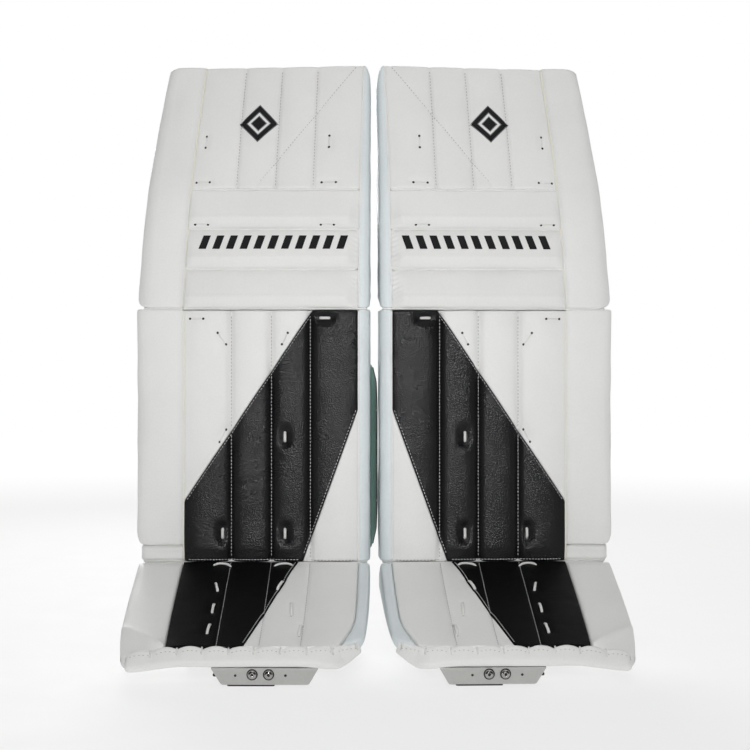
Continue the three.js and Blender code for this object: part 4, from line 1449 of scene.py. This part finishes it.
def build_channel(pad):
    build_calf_block(pad)
    build_knee_stack(pad)
    for name, place in WINGS.items():
        build_wing(pad, name, *place)
    for name, place in STRAPS.items():
        build_strap(pad, name, *place)
    for name, u_range in WEDGES.items():
        build_wedge(pad, name, *u_range)
    build_bridge(pad)
    build_toe_strap(pad)


# ---- the studio ----
FLOOR_REACH = 8.0
FLOOR_GLOW = {"From Min": 0.6, "From Max": 5.0, "To Min": 0.67, "To Max": 0.93}


def build_floor():
    """White paper that glows more with distance, so that it meets the wall without a line."""
    mesh = bpy.data.meshes.new("floor")
    corners = [(x * FLOOR_REACH, y * FLOOR_REACH, 0) for x, y in ((-1, -1), (1, -1), (1, 1), (-1, 1))]
    mesh.from_pydata(corners, [], [(0, 1, 2, 3)])
    floor = bpy.data.objects.new("floor", mesh)
    bpy.context.scene.collection.objects.link(floor)
    paper = finish("floor_paper", (0.2, 0.2, 0.2), 0.8, shade=0.01, grain=0.00002)
    tree = paper.node_tree
    where = node(tree, "ShaderNodeTexCoord").outputs["Object"]
    far = node(tree, "ShaderNodeVectorMath", {0: where}, operation="LENGTH").outputs["Value"]
    glow = node(tree, "ShaderNodeMapRange", {"Value": far}, interpolation_type="SMOOTHSTEP", **FLOOR_GLOW)
    shader = tree.nodes["Principled BSDF"].inputs
    shader["Emission Color"].default_value = (1, 1, 1, 1)
    tree.links.new(glow.outputs["Result"], shader["Emission Strength"])
    mesh.materials.append(paper)


def build_room():
    """The wall behind the pads is white, dims from 17 degrees up, and is dark towards the camera."""
    world = bpy.data.worlds.new("studio")
    bpy.context.scene.world = world
    world.use_nodes = True
    tree = world.node_tree
    where = node(tree, "ShaderNodeTexCoord").outputs["Generated"]
    split = node(tree, "ShaderNodeSeparateXYZ", {"Vector": where}).outputs
    wall = ramp(tree, split["Y"], ((0.0, (0.08, 0.08, 0.08)), (0.5, (1.0, 1.0, 1.0))))
    sky = ramp(tree, split["Z"], ((0.3, (1, 1, 1)), (0.5, (0.3, 0.3, 0.3))))
    tree.links.new(multiply(tree, wall, sky), tree.nodes["Background"].inputs["Color"])


def build_light(name, place, aim, size, power, spread):
    light = bpy.data.lights.new(name, "AREA")
    light.shape = "DISK"
    light.size = size
    light.energy = power
    light.spread = math.radians(spread)
    lamp = bpy.data.objects.new(name, light)
    lamp.location = place
    lamp.rotation_euler = (Vector(aim) - Vector(place)).to_track_quat("-Z", "Y").to_euler()
    bpy.context.scene.collection.objects.link(lamp)


def build_studio():
    build_floor()
    build_room()
    build_light("front_light", (0.0, -2.5, 0.84), (0, 0, 0.32), 0.3, 3.1, spread=60)
    build_light("top_light", (0.3, -0.7, 4.0), (0, 0, 0.2), 3.7, 60.0, spread=180)
    build_light("back_light", (-0.5, 2.8, 1.5), (0, 0, 0.35), 1.6, 12.0, spread=90)
    bpy.context.scene.view_settings.view_transform = "Standard"


def build_camera():
    """Straight from the front, in metres."""
    view_width = 0.906  # what the picture spans at the pads' faces
    distance, height, sensor = 2.2, 0.341, 36.0
    lens = bpy.data.cameras.new("camera")
    lens.sensor_width = sensor
    lens.lens = sensor * distance / view_width
    camera = bpy.data.objects.new("camera", lens)
    camera.location = (0.0, -PAIR_CENTRE[1] * MM - distance, height)
    camera.rotation_euler = (math.radians(90), 0, 0)
    bpy.context.scene.collection.objects.link(camera)
    bpy.context.scene.camera = camera


build_camera()
build_studio()
for pad in PADS:
    build_shin(pad)
    build_thigh(pad)
    build_boot(pad)
    build_backs(pad)
    build_channel(pad)
